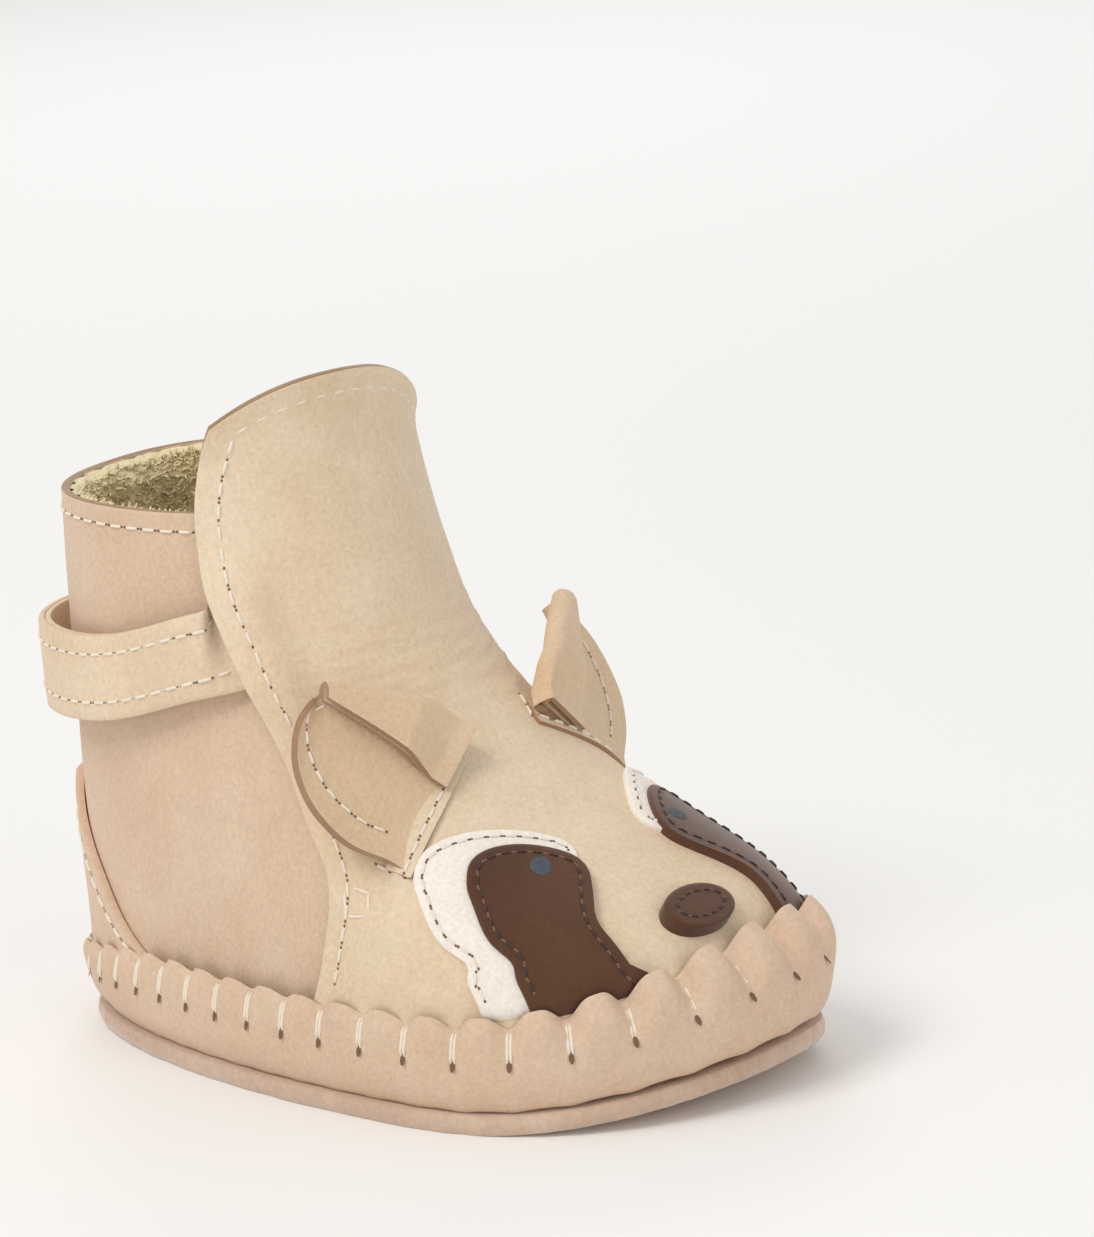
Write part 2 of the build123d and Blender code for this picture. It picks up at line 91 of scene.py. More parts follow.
soft_box("key_light", (-0.75, 0.15, 1.05), 0.55, 6.5, (1.0, 0.98, 0.95))
soft_box("fill_light", (-0.3, -1.3, 0.6), 0.9, 2.2, (1.0, 0.99, 0.98))
soft_box("rim_light", (0.9, 0.7, 0.7), 0.6, 2.5, (0.98, 0.99, 1.0))
world = bpy.data.worlds.new("white_room")
world.use_nodes = True
world.node_tree.nodes["Background"].inputs["Color"].default_value = (1, 1, 1, 1)
world.node_tree.nodes["Background"].inputs["Strength"].default_value = 0.62
bpy.context.scene.world = world
bpy.context.scene.view_settings.view_transform = "Standard"


def linear(code):
    """An sRGB hex colour as the linear RGBA that Blender's nodes take."""
    channels = [int(code[start:start + 2], 16) / 255 for start in (0, 2, 4)]
    return tuple(c / 12.92 if c <= 0.04045 else ((c + 0.055) / 1.055) ** 2.4 for c in channels) + (1.0,)


def add_node(material, kind, settings=None, **links):
    """Add one shader node; a link is a (node, output) pair or a plain value for that input."""
    node = material.node_tree.nodes.new(kind)
    for key, value in (settings or {}).items():
        setattr(node, key, value)
    for key, value in links.items():
        socket = node.inputs[int(key[2:])] if key.startswith("i_") else node.inputs[key.replace("_", " ")]
        if isinstance(value, tuple) and len(value) == 2 and isinstance(value[1], str):
            material.node_tree.links.new(value[0].outputs[value[1]], socket)
        else:
            socket.default_value = value
    return node


def new_material(name):
    """An empty node material with its output node."""
    material = bpy.data.materials.new(name)
    material.use_nodes = True
    material.node_tree.nodes.clear()
    return material


def put_surface(material, **inputs):
    """End a material in one principled shader with these inputs."""
    shader = add_node(material, "ShaderNodeBsdfPrincipled", **inputs)
    output = add_node(material, "ShaderNodeOutputMaterial")
    material.node_tree.links.new(shader.outputs[0], output.inputs["Surface"])
    return material


def mix_colours(material, share, first, second):
    """Blend two colours by a share; any of the three may be another node's output."""
    return add_node(material, "ShaderNodeMix", {"data_type": "RGBA"}, i_0=share, i_6=first, i_7=second)


card = put_surface(new_material("white_card"), Base_Color=linear("f7f6f4"), Roughness=0.9)
floor_mesh = bpy.data.meshes.new("floor")
floor_mesh.from_pydata([(-4, -4, 0), (4, -4, 0), (4, 4, 0), (-4, 4, 0)], [], [(0, 1, 2, 3)])
floor_mesh.materials.append(card)
floor = bpy.data.objects.new("floor", floor_mesh)
bpy.context.collection.objects.link(floor)

# ---- the last: one foot form that every piece follows -------------------------------------------
# The leather is shaped round a last. Its level sections are rounded outlines, listed at a few heights
# in millimetres: front reach, back reach, half width, widest station, toe roundness, toe bend, heel
# narrowing. These are the sizes the hidden design pieces have too.
LAST = np.array([
    (8.0, -61.0, 62.5, 30.5, -20.0, 2.30, 8.0, 0.15),
    (14.0, -61.0, 62.5, 31.0, -20.0, 2.30, 8.0, 0.15),
    (20.0, -59.0, 62.5, 31.0, -19.0, 2.30, 8.0, 0.15),
    (27.0, -53.5, 62.5, 30.5, -13.5, 2.30, 7.0, 0.13),
    (35.0, -40.0, 62.3, 29.5, -5.5, 2.20, 5.0, 0.10),
    (43.0, -27.5, 62.0, 28.5, 2.5, 2.15, 3.0, 0.08),
    (53.0, -15.2, 61.2, 27.0, 12.5, 2.10, 1.0, 0.05),
    (65.0, -6.0, 60.0, 26.0, 22.0, 2.10, 0.0, 0.02),
    (78.0, -0.8, 58.8, 25.5, 27.5, 2.10, 0.0, 0.0),
    (92.0, 3.2, 57.6, 25.5, 30.5, 2.10, 0.0, 0.0),
    (112.0, 6.4, 58.5, 25.3, 32.5, 2.10, 0.0, 0.0),
])
BOTTOM = np.array([
    (0.0, -59.0, 58.0, 29.0, -20.0, 2.30, 8.0, 0.15),
    (5.0, -63.5, 64.0, 33.0, -20.0, 2.30, 8.0, 0.15),
    (12.0, -65.3, 65.5, 34.3, -20.0, 2.30, 8.0, 0.15),
    (18.0, -65.0, 65.0, 34.0, -20.0, 2.30, 8.0, 0.15),
    (23.0, -62.5, 64.5, 33.3, -18.0, 2.30, 8.0, 0.15),
    (28.0, -58.0, 64.0, 32.6, -14.0, 2.30, 8.0, 0.15),
])
HEEL_ROUND = 2.4
LEATHER, LAP_GAP, PILE = 1.4, 0.3, 3.2
PANEL = LAP_GAP + LEATHER
TOE_LIFT, TOE_LIFT_FROM, TOE_TIP, HEEL_TIP = 5.4, -29.0, -66.0, 67.0
SIDES = ((-1, "outer"), (1, "inner"))


def smooth_rows(rows, z):
    """Rows at any heights: a cubic through the listed rows, with slopes from their neighbours."""
    heights = rows[:, 0]
    slopes = np.gradient(rows[:, 1:], heights, axis=0)
    z = np.clip(z, heights[0], heights[-1])
    low = np.clip(np.searchsorted(heights, z, side="right") - 1, 0, len(heights) - 2)
    span = (heights[low + 1] - heights[low])[..., None]
    part = (z[..., None] - heights[low][..., None]) / span
    ends = rows[low, 1:], rows[low + 1, 1:]
    hermite = (2 * part**3 - 3 * part**2 + 1) * ends[0] + (3 * part**2 - 2 * part**3) * ends[1]
    hermite += (part**3 - 2 * part**2 + part) * span * slopes[low]
    hermite += (part**3 - part**2) * span * slopes[low + 1]
    return np.moveaxis(hermite, -1, 0)


def section_point(rows, turn, z):
    """A point of the form: a superellipse in two halves at height z, bent inwards at the toe.

    turn is 0 at the toe, a quarter turn at the inner side and a half turn at the heel."""
    turn, z = np.broadcast_arrays(np.asarray(turn, float), np.asarray(z, float))
    front, rear, half, widest, toe_round, bend, narrow = smooth_rows(rows, z)
    c, s = np.cos(turn), np.sin(turn)
    power = 2 / np.where(c > 0, toe_round, HEEL_ROUND)
    along = np.sign(c) * np.abs(c) ** power
    across = np.sign(s) * np.abs(s) ** power
    reach = np.where(c > 0, widest - front, rear - widest)
    x = across * half * (1 - narrow * np.clip(-along, 0, 1) ** 1.5) + bend * np.clip(along, 0, 1) ** 2
    return np.stack([x, widest - along * reach, z], -1)


def form_normal(rows, turn, z):
    """The outward direction of the form, from the cross product of its two tangents."""
    step = 0.004
    around = section_point(rows, turn + step, z) - section_point(rows, turn - step, z)
    rise = section_point(rows, turn, z + 0.2) - section_point(rows, turn, z - 0.2)
    normal = np.cross(around, rise)
    return normal / np.maximum(np.linalg.norm(normal, axis=-1, keepdims=True), 1e-9)


def on_last(turn, z, grow=0.0):
    """Points that stand off the last by grow, measured square to its surface."""
    grow = np.asarray(grow, float)
    return section_point(LAST, turn, z) + form_normal(LAST, turn, z) * grow[..., None]


def toe_share(y):
    """How much of the toe's lift a station has."""
    return np.clip((TOE_LIFT_FROM - y) / (TOE_LIFT_FROM - TOE_TIP), 0, 2) ** 2


def seam_height(y):
    """Height of the gathered seam: it climbs at the toe and drops at the heel."""
    heel = np.clip((y - 26) / (HEEL_TIP - 26), 0, 2) ** 2
    return 17.6 + 8.4 * toe_share(y) - 7.3 * heel


def turn_at(y, z, side):
    """The turn at which the last's level section reaches a station, on one side, by bisection."""
    low, high = np.zeros(np.shape(z)), np.full(np.shape(z), math.pi)
    for _ in range(28):
        middle = (low + high) / 2
        ahead = section_point(LAST, middle, z)[..., 1] < y
        low, high = np.where(ahead, middle, low), np.where(ahead, high, middle)
    return side * (low + high) / 2


# The front panel's rear edge: its station at some heights.
EDGE_Z = np.array([8, 25, 36, 46, 67, 88, 99, 110.0])
EDGE_Y = np.array([1, -6, -7, -1, 12, 19, 18, 14.0])


def soft_line(x, xs, ys):
    """A smooth curve through a few points, as a cubic with slopes from their neighbours."""
    rows = np.column_stack([xs, ys])
    return smooth_rows(rows, np.asarray(x, float))[0]


def grid_faces(rows, columns, wrap=False):
    """Quads of a grid of rows by columns, optionally closed on itself along the columns."""
    last = columns if wrap else columns - 1
    r, c = np.meshgrid(np.arange(rows - 1), np.arange(last), indexing="ij")
    n = (c + 1) % columns
    low, high = r * columns, (r + 1) * columns
    return np.stack([low + c, low + n, high + n, high + c], -1).reshape(-1, 4)


def make_piece(name, points, faces, material, node=None, body=None, slot=None):
    """A mesh object from arrays of points in millimetres and faces, riding on a body."""
    mesh = bpy.data.meshes.new(name)
    verts = (np.asarray(points, float).reshape(-1, 3) * MM).tolist()
    mesh.from_pydata(verts, [], faces if isinstance(faces, list) else faces.tolist())
    mesh.materials.append(material)
    mesh.polygons.foreach_set("use_smooth", np.full(len(mesh.polygons), True))
    piece = bpy.data.objects.new(name, mesh)
    bpy.context.collection.objects.link(piece)
    if body:
        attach(piece, body)
    if node:
        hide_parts(*([node] if isinstance(node, str) else node))
    return piece


def thicken(piece, thickness, offset=-1.0, bevel=0.0, rim=None):
    """Give a sheet its leather thickness in millimetres, round its cut edges and colour them."""
    solid = piece.modifiers.new("thickness", "SOLIDIFY")
    solid.thickness = thickness * MM
    solid.offset = offset
    solid.use_even_offset = True
    if rim:
        piece.data.materials.append(rim)
        solid.material_offset_rim = 1
    if bevel:
        round_off = piece.modifiers.new("round", "BEVEL")
        round_off.width = bevel * MM
        round_off.segments = 2
        round_off.limit_method = "ANGLE"
        round_off.angle_limit = math.radians(50)
    return piece


def leather_grain(name, base, shade, warm, roughness, grain_mm, bump_mm, fuzz=0.0):
    """Nubuck: sanded leather. Cloudy colour, fine pores, a matt face with a trace of nap."""
    material = new_material(name)
    coords = add_node(material, "ShaderNodeTexCoord")
    where = (coords, "Object")
    clouds = add_node(material, "ShaderNodeTexNoise", Vector=where, Scale=55.0, Detail=5.0, Roughness=0.6)
    broad = add_node(material, "ShaderNodeTexNoise", Vector=where, Scale=14.0, Detail=3.0)
    grain = add_node(
        material, "ShaderNodeTexNoise", Vector=where, Scale=1 / (grain_mm * MM * 2.2), Detail=6.0,
        Roughness=0.65,
    )
    pores = add_node(material, "ShaderNodeTexVoronoi", Vector=where, Scale=1 / (grain_mm * MM * 1.3))
    cloud_mix = add_node(material, "ShaderNodeMapRange", Value=(clouds, "Fac"), From_Min=0.35, From_Max=0.7)
    tone = mix_colours(material, (cloud_mix, "Result"), linear(base), linear(shade))
    broad_mix = add_node(
        material, "ShaderNodeMapRange", Value=(broad, "Fac"), From_Min=0.4, From_Max=0.75, To_Max=0.6,
    )
    tint = mix_colours(material, (broad_mix, "Result"), (tone, "Result"), linear(warm))
    fleck = add_node(
        material, "ShaderNodeMapRange", Value=(grain, "Fac"),
        From_Min=0.3, From_Max=0.7, To_Min=0.88, To_Max=1.08,
    )
    colour = add_node(
        material, "ShaderNodeVectorMath", {"operation": "SCALE"}, i_0=(tint, "Result"),
        Scale=(fleck, "Result"),
    )
    relief = add_node(
        material, "ShaderNodeMath", {"operation": "ADD"}, i_0=(grain, "Fac"), i_1=(pores, "Distance"),
    )
    bump = add_node(
        material, "ShaderNodeBump", Height=(relief, "Value"), Strength=0.55, Distance=bump_mm * MM,
    )
    return put_surface(
        material, Base_Color=(colour, "Vector"), Roughness=roughness, Normal=(bump, "Normal"),
        Sheen_Weight=fuzz, Sheen_Roughness=0.5, Specular_IOR_Level=0.3,
    )


nubuck = leather_grain("nubuck", "ddc4aa", "d3b59a", "e2c2aa", 0.72, 0.35, 0.05, 0.12)
vamp_nubuck = leather_grain("vamp_nubuck", "e6d3b8", "dcc3a2", "e3c9ab", 0.68, 0.35, 0.05, 0.12)
cut_edge = leather_grain("cut_leather_edge", "a98766", "94714f", "b8977a", 0.92, 0.3, 0.12, 0.3)

# ---- front panel: vamp and tongue ---------------------------------------------------------------
# One piece of nubuck runs from the gathered seam over the instep to the top of the tongue. Its rear
# edges lap over the quarter and are cut raw, and it bends at the crease above the ears.
FOLD_Z = 63.0
TONGUE_TOP = 109.5
PANEL_COLUMNS, PANEL_ROWS = 181, 221


def panel_domain(u, v):
    """Turn and height on the last for u across (-1 outer, 1 inner) and v up (0 seam, 1 top)."""
    z = np.full(np.broadcast(u, v).shape, 40.0)
    for _ in range(12):
        edge = turn_at(soft_line(z, EDGE_Z, EDGE_Y), z, 1.0)
        turn = u * edge
        seam = seam_height(section_point(LAST, turn, np.clip(z, 8, 30))[..., 1]) - 2.5
        z = seam + (tongue_top(turn) - seam) * v
    return turn, z


def tongue_top(turn):
    """Height of the tongue's lip: a flat arch, highest a little to the outer side, round at its ends."""
    away = np.abs(turn + 0.24) / 0.72
    return TONGUE_TOP - 0.3 - 5.6 * np.minimum(away, 1.9) ** 2.2 / (1 + 0.35 * np.maximum(away - 1, 0))


def tongue_curl(v):
    """The tongue's top lip rolls a little outwards, away from the ankle."""
    return 1.2 * np.clip((v - 0.93) / 0.07, 0, 1) ** 2


def over_strap(u, z):
    """The outer rear edge stands out over the strap that is sewn under it: a hump, highest at the edge."""
    rise = np.clip((-u - 0.66) / 0.2, 0, 1)
    return 2.7 * rise * rise * (3 - 2 * rise) * np.exp(-(((z - 70.5) / 12) ** 4))


def creases(turn, z):
    """Fine slanting wrinkles across the bend of the instep, as a smooth offset in millimetres."""
    band = np.exp(-(((z - 62) / 9) ** 2)) * np.exp(-(((np.abs(turn) - 0.35) / 0.8) ** 2))
    wave = np.sin(z * 1.9 + turn * 5.0) * 0.5 + np.sin(z * 3.1 - turn * 7.0 + 1.0) * 0.35
    return band * wave * 0.14


u_axis, v_axis = np.linspace(-1, 1, PANEL_COLUMNS), np.linspace(0, 1, PANEL_ROWS)
U, V = np.meshgrid(u_axis, v_axis)
panel_turn, panel_z = panel_domain(U, V)
panel_lift = PANEL + creases(panel_turn, panel_z) + tongue_curl(V) + over_strap(U, panel_z)
panel_points = on_last(panel_turn, panel_z, panel_lift)
panel = make_piece("front_panel", panel_points, grid_faces(*U.shape), vamp_nubuck)
thicken(panel, LEATHER, -1.0, 0.3, cut_edge)
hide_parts("vamp", "tongue")
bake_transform(panel)

# ---- quarter ------------------------------------------------------------------------------------
# Nubuck round the heel and ankle. Its front edges run on under the front panel.
QUARTER_LOW, QUARTER_TOP = 9.0, 90.0
u_axis, v_axis = np.linspace(0, 1, 161), np.linspace(0, 1, 121)
U, V = np.meshgrid(u_axis, v_axis)
quarter_z = QUARTER_LOW + (QUARTER_TOP - QUARTER_LOW) * V
start = turn_at(soft_line(quarter_z, EDGE_Z, EDGE_Y) - 8, quarter_z, 1.0)
quarter_turn = start + (2 * math.pi - 2 * start) * U
quarter_points = on_last(quarter_turn, quarter_z, np.zeros_like(U))
quarter = make_piece(
    "quarter_leather", quarter_points, grid_faces(*U.shape), nubuck, "quarter", "root", "nubuck",
)
thicken(quarter, LEATHER, -1.0, 0.3, cut_edge)

# ---- moccasin bottom ----------------------------------------------------------------------------
# One piece of nubuck under and round the foot. Every stitch pulls its edge down into a pucker, so the
# edge stands up in round lobes between the stitches, large at the toe and small at the heel.
LOBES = 40
perimeter_turn = np.linspace(0, 2 * math.pi, 1441)
track = section_point(BOTTOM, perimeter_turn, 18.0)
length = np.concatenate([[0], np.cumsum(np.linalg.norm(np.diff(track, axis=0), axis=1))])
way_round = length / length[-1]
TOE_STRETCH = 0.2
phase_table = LOBES * (way_round - TOE_STRETCH * np.sin(2 * math.pi * way_round) / (2 * math.pi))


def lobe_phase(turn):
    """Count of lobes from the toe at a turn; a sine makes them longer at the toe than at the heel."""
    return np.interp(np.mod(turn, 2 * math.pi), perimeter_turn, phase_table)


def wrap_point(turn, w):
    """The bottom's surface: w runs from under the sole (0) up the bulging wall to the edge (1)."""
    flat = section_point(BOTTOM, turn, np.full_like(turn, 18.0))
    y = flat[..., 1]
    toe = np.clip((-10 - y) / 45, 0, 1)
    phase = lobe_phase(turn)
    pinch = np.abs(np.cos(np.pi * phase)) ** 3.6
    lobe = 1 - pinch
    seam = seam_height(y)
    top = seam + (1.3 + 2.0 * toe) * (lobe - 0.45)
    low = 1.6 + TOE_LIFT * toe_share(y)
    z = low + (top - low) * w
    nominal = 1.6 + (np.minimum(seam, 26) - 1.6) * w
    nominal = np.where(w > 0, nominal, 1.6)
    base = section_point(BOTTOM, turn, nominal)
    normal = form_normal(BOTTOM, turn, np.clip(nominal, 2, 27))
    rise = np.clip((w - 0.35) / 0.65, 0, 1)
    puff = (0.9 + 1.2 * toe) * rise * (lobe - 0.4)
    roll = -0.9 * np.clip((w - 0.8) / 0.2, 0, 1) ** 2
    under = -5.0 * np.clip((0.1 - w) / 0.1, 0, 1)
    point = base + normal * (puff + roll + under)[..., None]
    point[..., 2] = z + 0.3 * np.sin(np.pi * w)
    return point


turn_axis = np.linspace(0, 2 * math.pi, LOBES * 16, endpoint=False)
w_axis = np.concatenate([np.linspace(0, 0.1, 4), np.linspace(0.13, 1, 34)])
T, W = np.meshgrid(turn_axis, w_axis)
wrap_points = wrap_point(T, W)
wrap = make_piece(
    "moccasin_leather", wrap_points, grid_faces(*T.shape, True), nubuck, "moccasin_bottom", "root",
    "nubuck",
)
thicken(wrap, 1.5, -1.0, 0.3, cut_edge)

# ---- outsole -------------------------------------------------------------------------------------
# Split suede, rough side out, glued under the moccasin bottom. Its cut edge is fuzzy and stands out a
# little past the bottom.
sole_suede = leather_grain("sole_suede", "cfb49e", "b8977f", "ddc6b3", 0.95, 0.5, 0.16, 0.6)
SOLE = 3.0
PAD_CENTRE = np.array([2.0, 0.0, 0.0])


def sole_point(turn, w):
    """The sole's skin: w goes from the middle below (0) over the rounded edge (1/2) to the top (1)."""
    flat = section_point(BOTTOM, turn, np.full_like(turn, 6.0))
    reach = np.where(w < 0.35, w / 0.35, np.where(w > 0.65, (1 - w) / 0.35, 1.0))
    level = np.clip((w - 0.35) / 0.3, 0, 1)
    point = PAD_CENTRE + (flat - PAD_CENTRE) * (0.982 * np.minimum(reach, 1))[..., None]
    wobble = 0.35 * np.sin(turn * 31) * np.sin(turn * 7 + 1) + 0.2 * np.sin(turn * 53 + 2)
    normal = form_normal(BOTTOM, turn, np.full_like(turn, 6.0))
    point += normal * ((0.55 * np.sin(np.pi * level) + 0.3 * wobble) * (reach >= 1))[..., None]
    point[..., 2] = SOLE * level + TOE_LIFT * toe_share(point[..., 1])
    return point


sole_rows = [np.linspace(0.01, 0.35, 8), np.linspace(0.38, 0.62, 7), np.linspace(0.65, 0.99, 6)]
T, W = np.meshgrid(np.linspace(0, 2 * math.pi, 720, endpoint=False), np.concatenate(sole_rows))
make_piece(
    "suede_sole", sole_point(T, W), grid_faces(*T.shape, True), sole_suede, "outsole", "root", "sole_suede",
)

# ---- shearling: pile of the linings and the footbed ----------------------------------------------
# Sheepskin with short curly wool, cream at the tips and yellow underneath. The skins are lumpy
# sheets, and tufts stand on them where the lining shows.
shearling = new_material("shearling_wool")
coords = add_node(shearling, "ShaderNodeTexCoord")
curls = add_node(shearling, "ShaderNodeTexVoronoi", Vector=(coords, "Object"), Scale=520.0)
fluff = add_node(
    shearling, "ShaderNodeTexNoise", Vector=(coords, "Object"), Scale=900.0, Detail=6.0, Roughness=0.7,
)
patchy = add_node(shearling, "ShaderNodeTexNoise", Vector=(coords, "Object"), Scale=60.0, Detail=3.0)
wool_mix = mix_colours(shearling, (patchy, "Fac"), linear("ffe9b0"), linear("fff3cf"))
wool_height = add_node(
    shearling, "ShaderNodeMath", {"operation": "ADD"}, i_0=(curls, "Distance"), i_1=(fluff, "Fac"),
)
wool_bump = add_node(
    shearling, "ShaderNodeBump", Height=(wool_height, "Value"), Strength=0.9, Distance=0.0006,
)
put_surface(
    shearling, Base_Color=(wool_mix, "Result"), Roughness=0.95, Normal=(wool_bump, "Normal"),
    Sheen_Weight=0.3, Sheen_Roughness=0.6, Specular_IOR_Level=0.1,
)


def lumps(a, b, size):
    """Soft lumps of wool: a few crossed sine waves, about one unit high."""
    wave = np.sin(a / size * 2.1 + np.sin(b / size * 1.3)) * np.sin(b / size * 1.9 + np.sin(a / size * 1.7 + 2))
    return wave + 0.5 * np.sin(a / size * 4.3 + 1.2 * np.sin(b / size * 3.1)) * np.sin(b / size * 4.7)


def tufts(name, points, normals, height, seed, body, slot="shearling"):
    """Curly locks: each is a bent three-sided spike of four rings on its place, leaning at random."""
    rng = np.random.default_rng(seed)
    count = len(points)
    lean = normals + rng.normal(0, 0.55, (count, 3))
    lean /= np.linalg.norm(lean, axis=1, keepdims=True)
    side = np.cross(lean, rng.normal(0, 1, (count, 3)))
    side /= np.linalg.norm(side, axis=1, keepdims=True)
    other = np.cross(lean, side)
    tall = height * rng.uniform(0.35, 0.75, (count, 1))
    rings = []
    for share, width in ((-0.2, 0.34), (0.35, 0.3), (0.75, 0.2), (1.0, 0.06)):
        middle = points + lean * tall * share + side * tall * 0.45 * share**2
        for corner in range(3):
            angle = 2 * math.pi * corner / 3
            rings.append(middle + (side * math.cos(angle) + other * math.sin(angle)) * width)
    verts = np.stack(rings, 1).reshape(-1, 3)
    pattern = []
    for ring in range(3):
        for corner in range(3):
            after = (corner + 1) % 3
            pattern.append((ring * 3 + corner, ring * 3 + after, ring * 3 + 3 + after, ring * 3 + 3 + corner))
    faces = (np.arange(count)[:, None, None] * 12 + np.array(pattern)).reshape(-1, 4)
    return make_piece(name, verts, faces, shearling, None, body, slot)


def wool_sheet(turn, z, top, lift=0.0):
    """The lining's inner face: it follows the last inside the leather, lumpy, and rolls over the top."""
    deep = -(LEATHER + 0.2) - PILE * np.clip((top - z) / 3.0, 0, 1) ** 0.6
    return on_last(turn, z, deep + lift + 0.35 * lumps(turn * 26, z, 1.9))


LINING_LOW, LINING_TOP = 10.5, QUARTER_TOP - 0.3
u_axis, v_axis = np.linspace(0, 1, 201), np.linspace(0, 1, 101)
U, V = np.meshgrid(u_axis, v_axis)
lining_z = LINING_LOW + (LINING_TOP - LINING_LOW) * V
lining_start = turn_at(soft_line(lining_z, EDGE_Z, EDGE_Y) - 7.5, lining_z, 1.0)
lining_turn = lining_start + (2 * math.pi - 2 * lining_start) * U
make_piece(
    "ankle_lining", wool_sheet(lining_turn, lining_z, LINING_TOP), grid_faces(*U.shape)[:, ::-1], shearling,
    "quarter_lining", "root", "shearling",
)
rng = np.random.default_rng(4)
ANKLE_TUFTS, TONGUE_TUFTS = 5200, 3600
tuft_z = QUARTER_TOP - 1.0 - 34 * rng.uniform(0, 1, ANKLE_TUFTS) ** 1.6
tuft_share = rng.uniform(0, 1, ANKLE_TUFTS)
tuft_start = turn_at(soft_line(tuft_z, EDGE_Z, EDGE_Y) - 6.5, tuft_z, 1.0)
tuft_turn = tuft_start + (2 * math.pi - 2 * tuft_start) * tuft_share
tuft_way = -form_normal(LAST, tuft_turn, tuft_z) + np.array([0, 0, 0.5])
tufts("ankle_wool", wool_sheet(tuft_turn, tuft_z, LINING_TOP), tuft_way, 1.7, 5, "root")

u_axis, v_axis = np.linspace(-1, 1, 121), np.linspace(0, 1, 141)
U, V = np.meshgrid(u_axis, v_axis)
front_turn, front_z = panel_domain(U * 0.93, V * 0.985)
front_wool = wool_sheet(front_turn, front_z, TONGUE_TOP - 1.5, LAP_GAP)
front_lining = make_piece("front_lining", front_wool, grid_faces(*U.shape)[:, ::-1], shearling)
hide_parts("vamp_lining", "tongue_lining")
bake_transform(front_lining)
tuft_u, tuft_v = rng.uniform(-0.9, 0.9, TONGUE_TUFTS), 1 - rng.uniform(0.015, 0.45, TONGUE_TUFTS)
wool_turn, wool_z = panel_domain(tuft_u, tuft_v)
above_bend = wool_z > FOLD_Z + 5
wool_turn, wool_z = wool_turn[above_bend], wool_z[above_bend]
wool_places = wool_sheet(wool_turn, wool_z, TONGUE_TOP - 1.5, LAP_GAP)
tufts("tongue_wool", wool_places, -form_normal(LAST, wool_turn, wool_z), 1.6, 6, "tongue")

# The footbed: the same wool under the foot, on a felted board.
board = leather_grain("felted_board", "9c8060", "8a6f50", "a58a6a", 0.95, 0.4, 0.1, 0.2)


def footbed_point(turn, w, low, high, inset):
    """A flat pad's skin: w from the middle below over its edge to the middle above."""
    flat = section_point(BOTTOM, turn, np.full_like(turn, 6.0))
    reach = np.minimum(np.minimum(w, 1 - w) / 0.4, 1)
    point = PAD_CENTRE + (flat - PAD_CENTRE) * (inset * reach)[..., None]
    point[..., 2] = low + (high - low) * np.clip(
        (w - 0.4) / 0.2, 0, 1,
    ) + TOE_LIFT * toe_share(point[..., 1])
    return point


T, W = np.meshgrid(np.linspace(0, 2 * math.pi, 160, endpoint=False), np.linspace(0.01, 0.99, 61))
make_piece(
    "board_under_foot", footbed_point(T, W, 4.5, 6.0, 0.84), grid_faces(*T.shape, True), board,
    "insole_board", "root", "insole_board",
)
bed = footbed_point(T, W, 6.1, 9.2, 0.8)
bed[..., 2] += np.where(W > 0.55, 0.4 * lumps(bed[..., 0], bed[..., 1], 1.9), 0)
make_piece(
    "footbed_wool", bed, grid_faces(*T.shape, True), shearling, "footbed_fleece", "root", "shearling",
)

# ---- thread: machine stitches and needle holes ---------------------------------------------------
# Waxed linen-coloured thread. Each stitch is a short rounded run of thread that dives into a needle
# hole at both ends. The holes are flat dark-brown discs: painted shade that stands in for their depth.


def thread_material(name, colour, roughness):
    """Twisted thread: fine waves across it, as a bump."""
    material = new_material(name)
    coords = add_node(material, "ShaderNodeTexCoord")
    twist = add_node(material, "ShaderNodeTexWave", Vector=(coords, "Object"), Scale=700.0, Distortion=2.0)
    bump = add_node(material, "ShaderNodeBump", Height=(twist, "Fac"), Strength=0.5, Distance=0.0001)
    return put_surface(
        material, Base_Color=linear(colour), Roughness=roughness, Normal=(bump, "Normal"), Sheen_Weight=0.2,
    )


thread = thread_material("cream_thread", "efe4d2", 0.6)
dark_thread = thread_material("brown_thread", "33190f", 0.55)
# Flat dark-brown discs at the needle holes: painted shade in place of the holes' depth.
painted_hole_shade = put_surface(new_material("needle_hole_painted_shade"), Base_Color=linear("7a5c47"), Roughness=1.0)


def along_line(stations, along, values):
    """Values given at distances along a line, at other distances."""
    return np.stack([np.interp(stations, along, column) for column in values.T], -1)


def spread(vectors, amounts):
    """Every vector times every amount: a row of offsets for each vector."""
    return vectors[:, None] * amounts[None, :, None]


def even_steps(points, normals, pitch):
    """Centres, directions and normals at an even pitch along a dense line."""
    legs = np.linalg.norm(np.diff(points, axis=0), axis=1)
    along = np.concatenate([[0], np.cumsum(legs)])
    count = max(1, round(along[-1] / pitch))
    stations = (np.arange(count) + 0.5) * along[-1] / count
    centre = along_line(stations, along, points)
    up_from = along_line(stations, along, normals)
    direction = along_line(stations + 0.4, along, points) - along_line(stations - 0.4, along, points)
    direction /= np.linalg.norm(direction, axis=1, keepdims=True)
    up_from -= direction * np.sum(direction * up_from, 1, keepdims=True)
    up_from /= np.linalg.norm(up_from, axis=1, keepdims=True)
    return centre, direction, up_from


def thread_group(
    name, runs, node, body, material=None, pitch=3.4, span=2.5, radius=0.27, slot="cream_thread",
    holes=True,
):
    """All stitches of some runs as one piece: a run is a dense line of points and its normals."""
    parts = [even_steps(points, normals, pitch) for points, normals in runs]
    centre, direction, up_from = (np.concatenate([part[index] for part in parts]) for index in range(3))
    return thread_piece(
        name, centre, direction, up_from, span, radius, node, body, material or thread, slot, holes,
    )


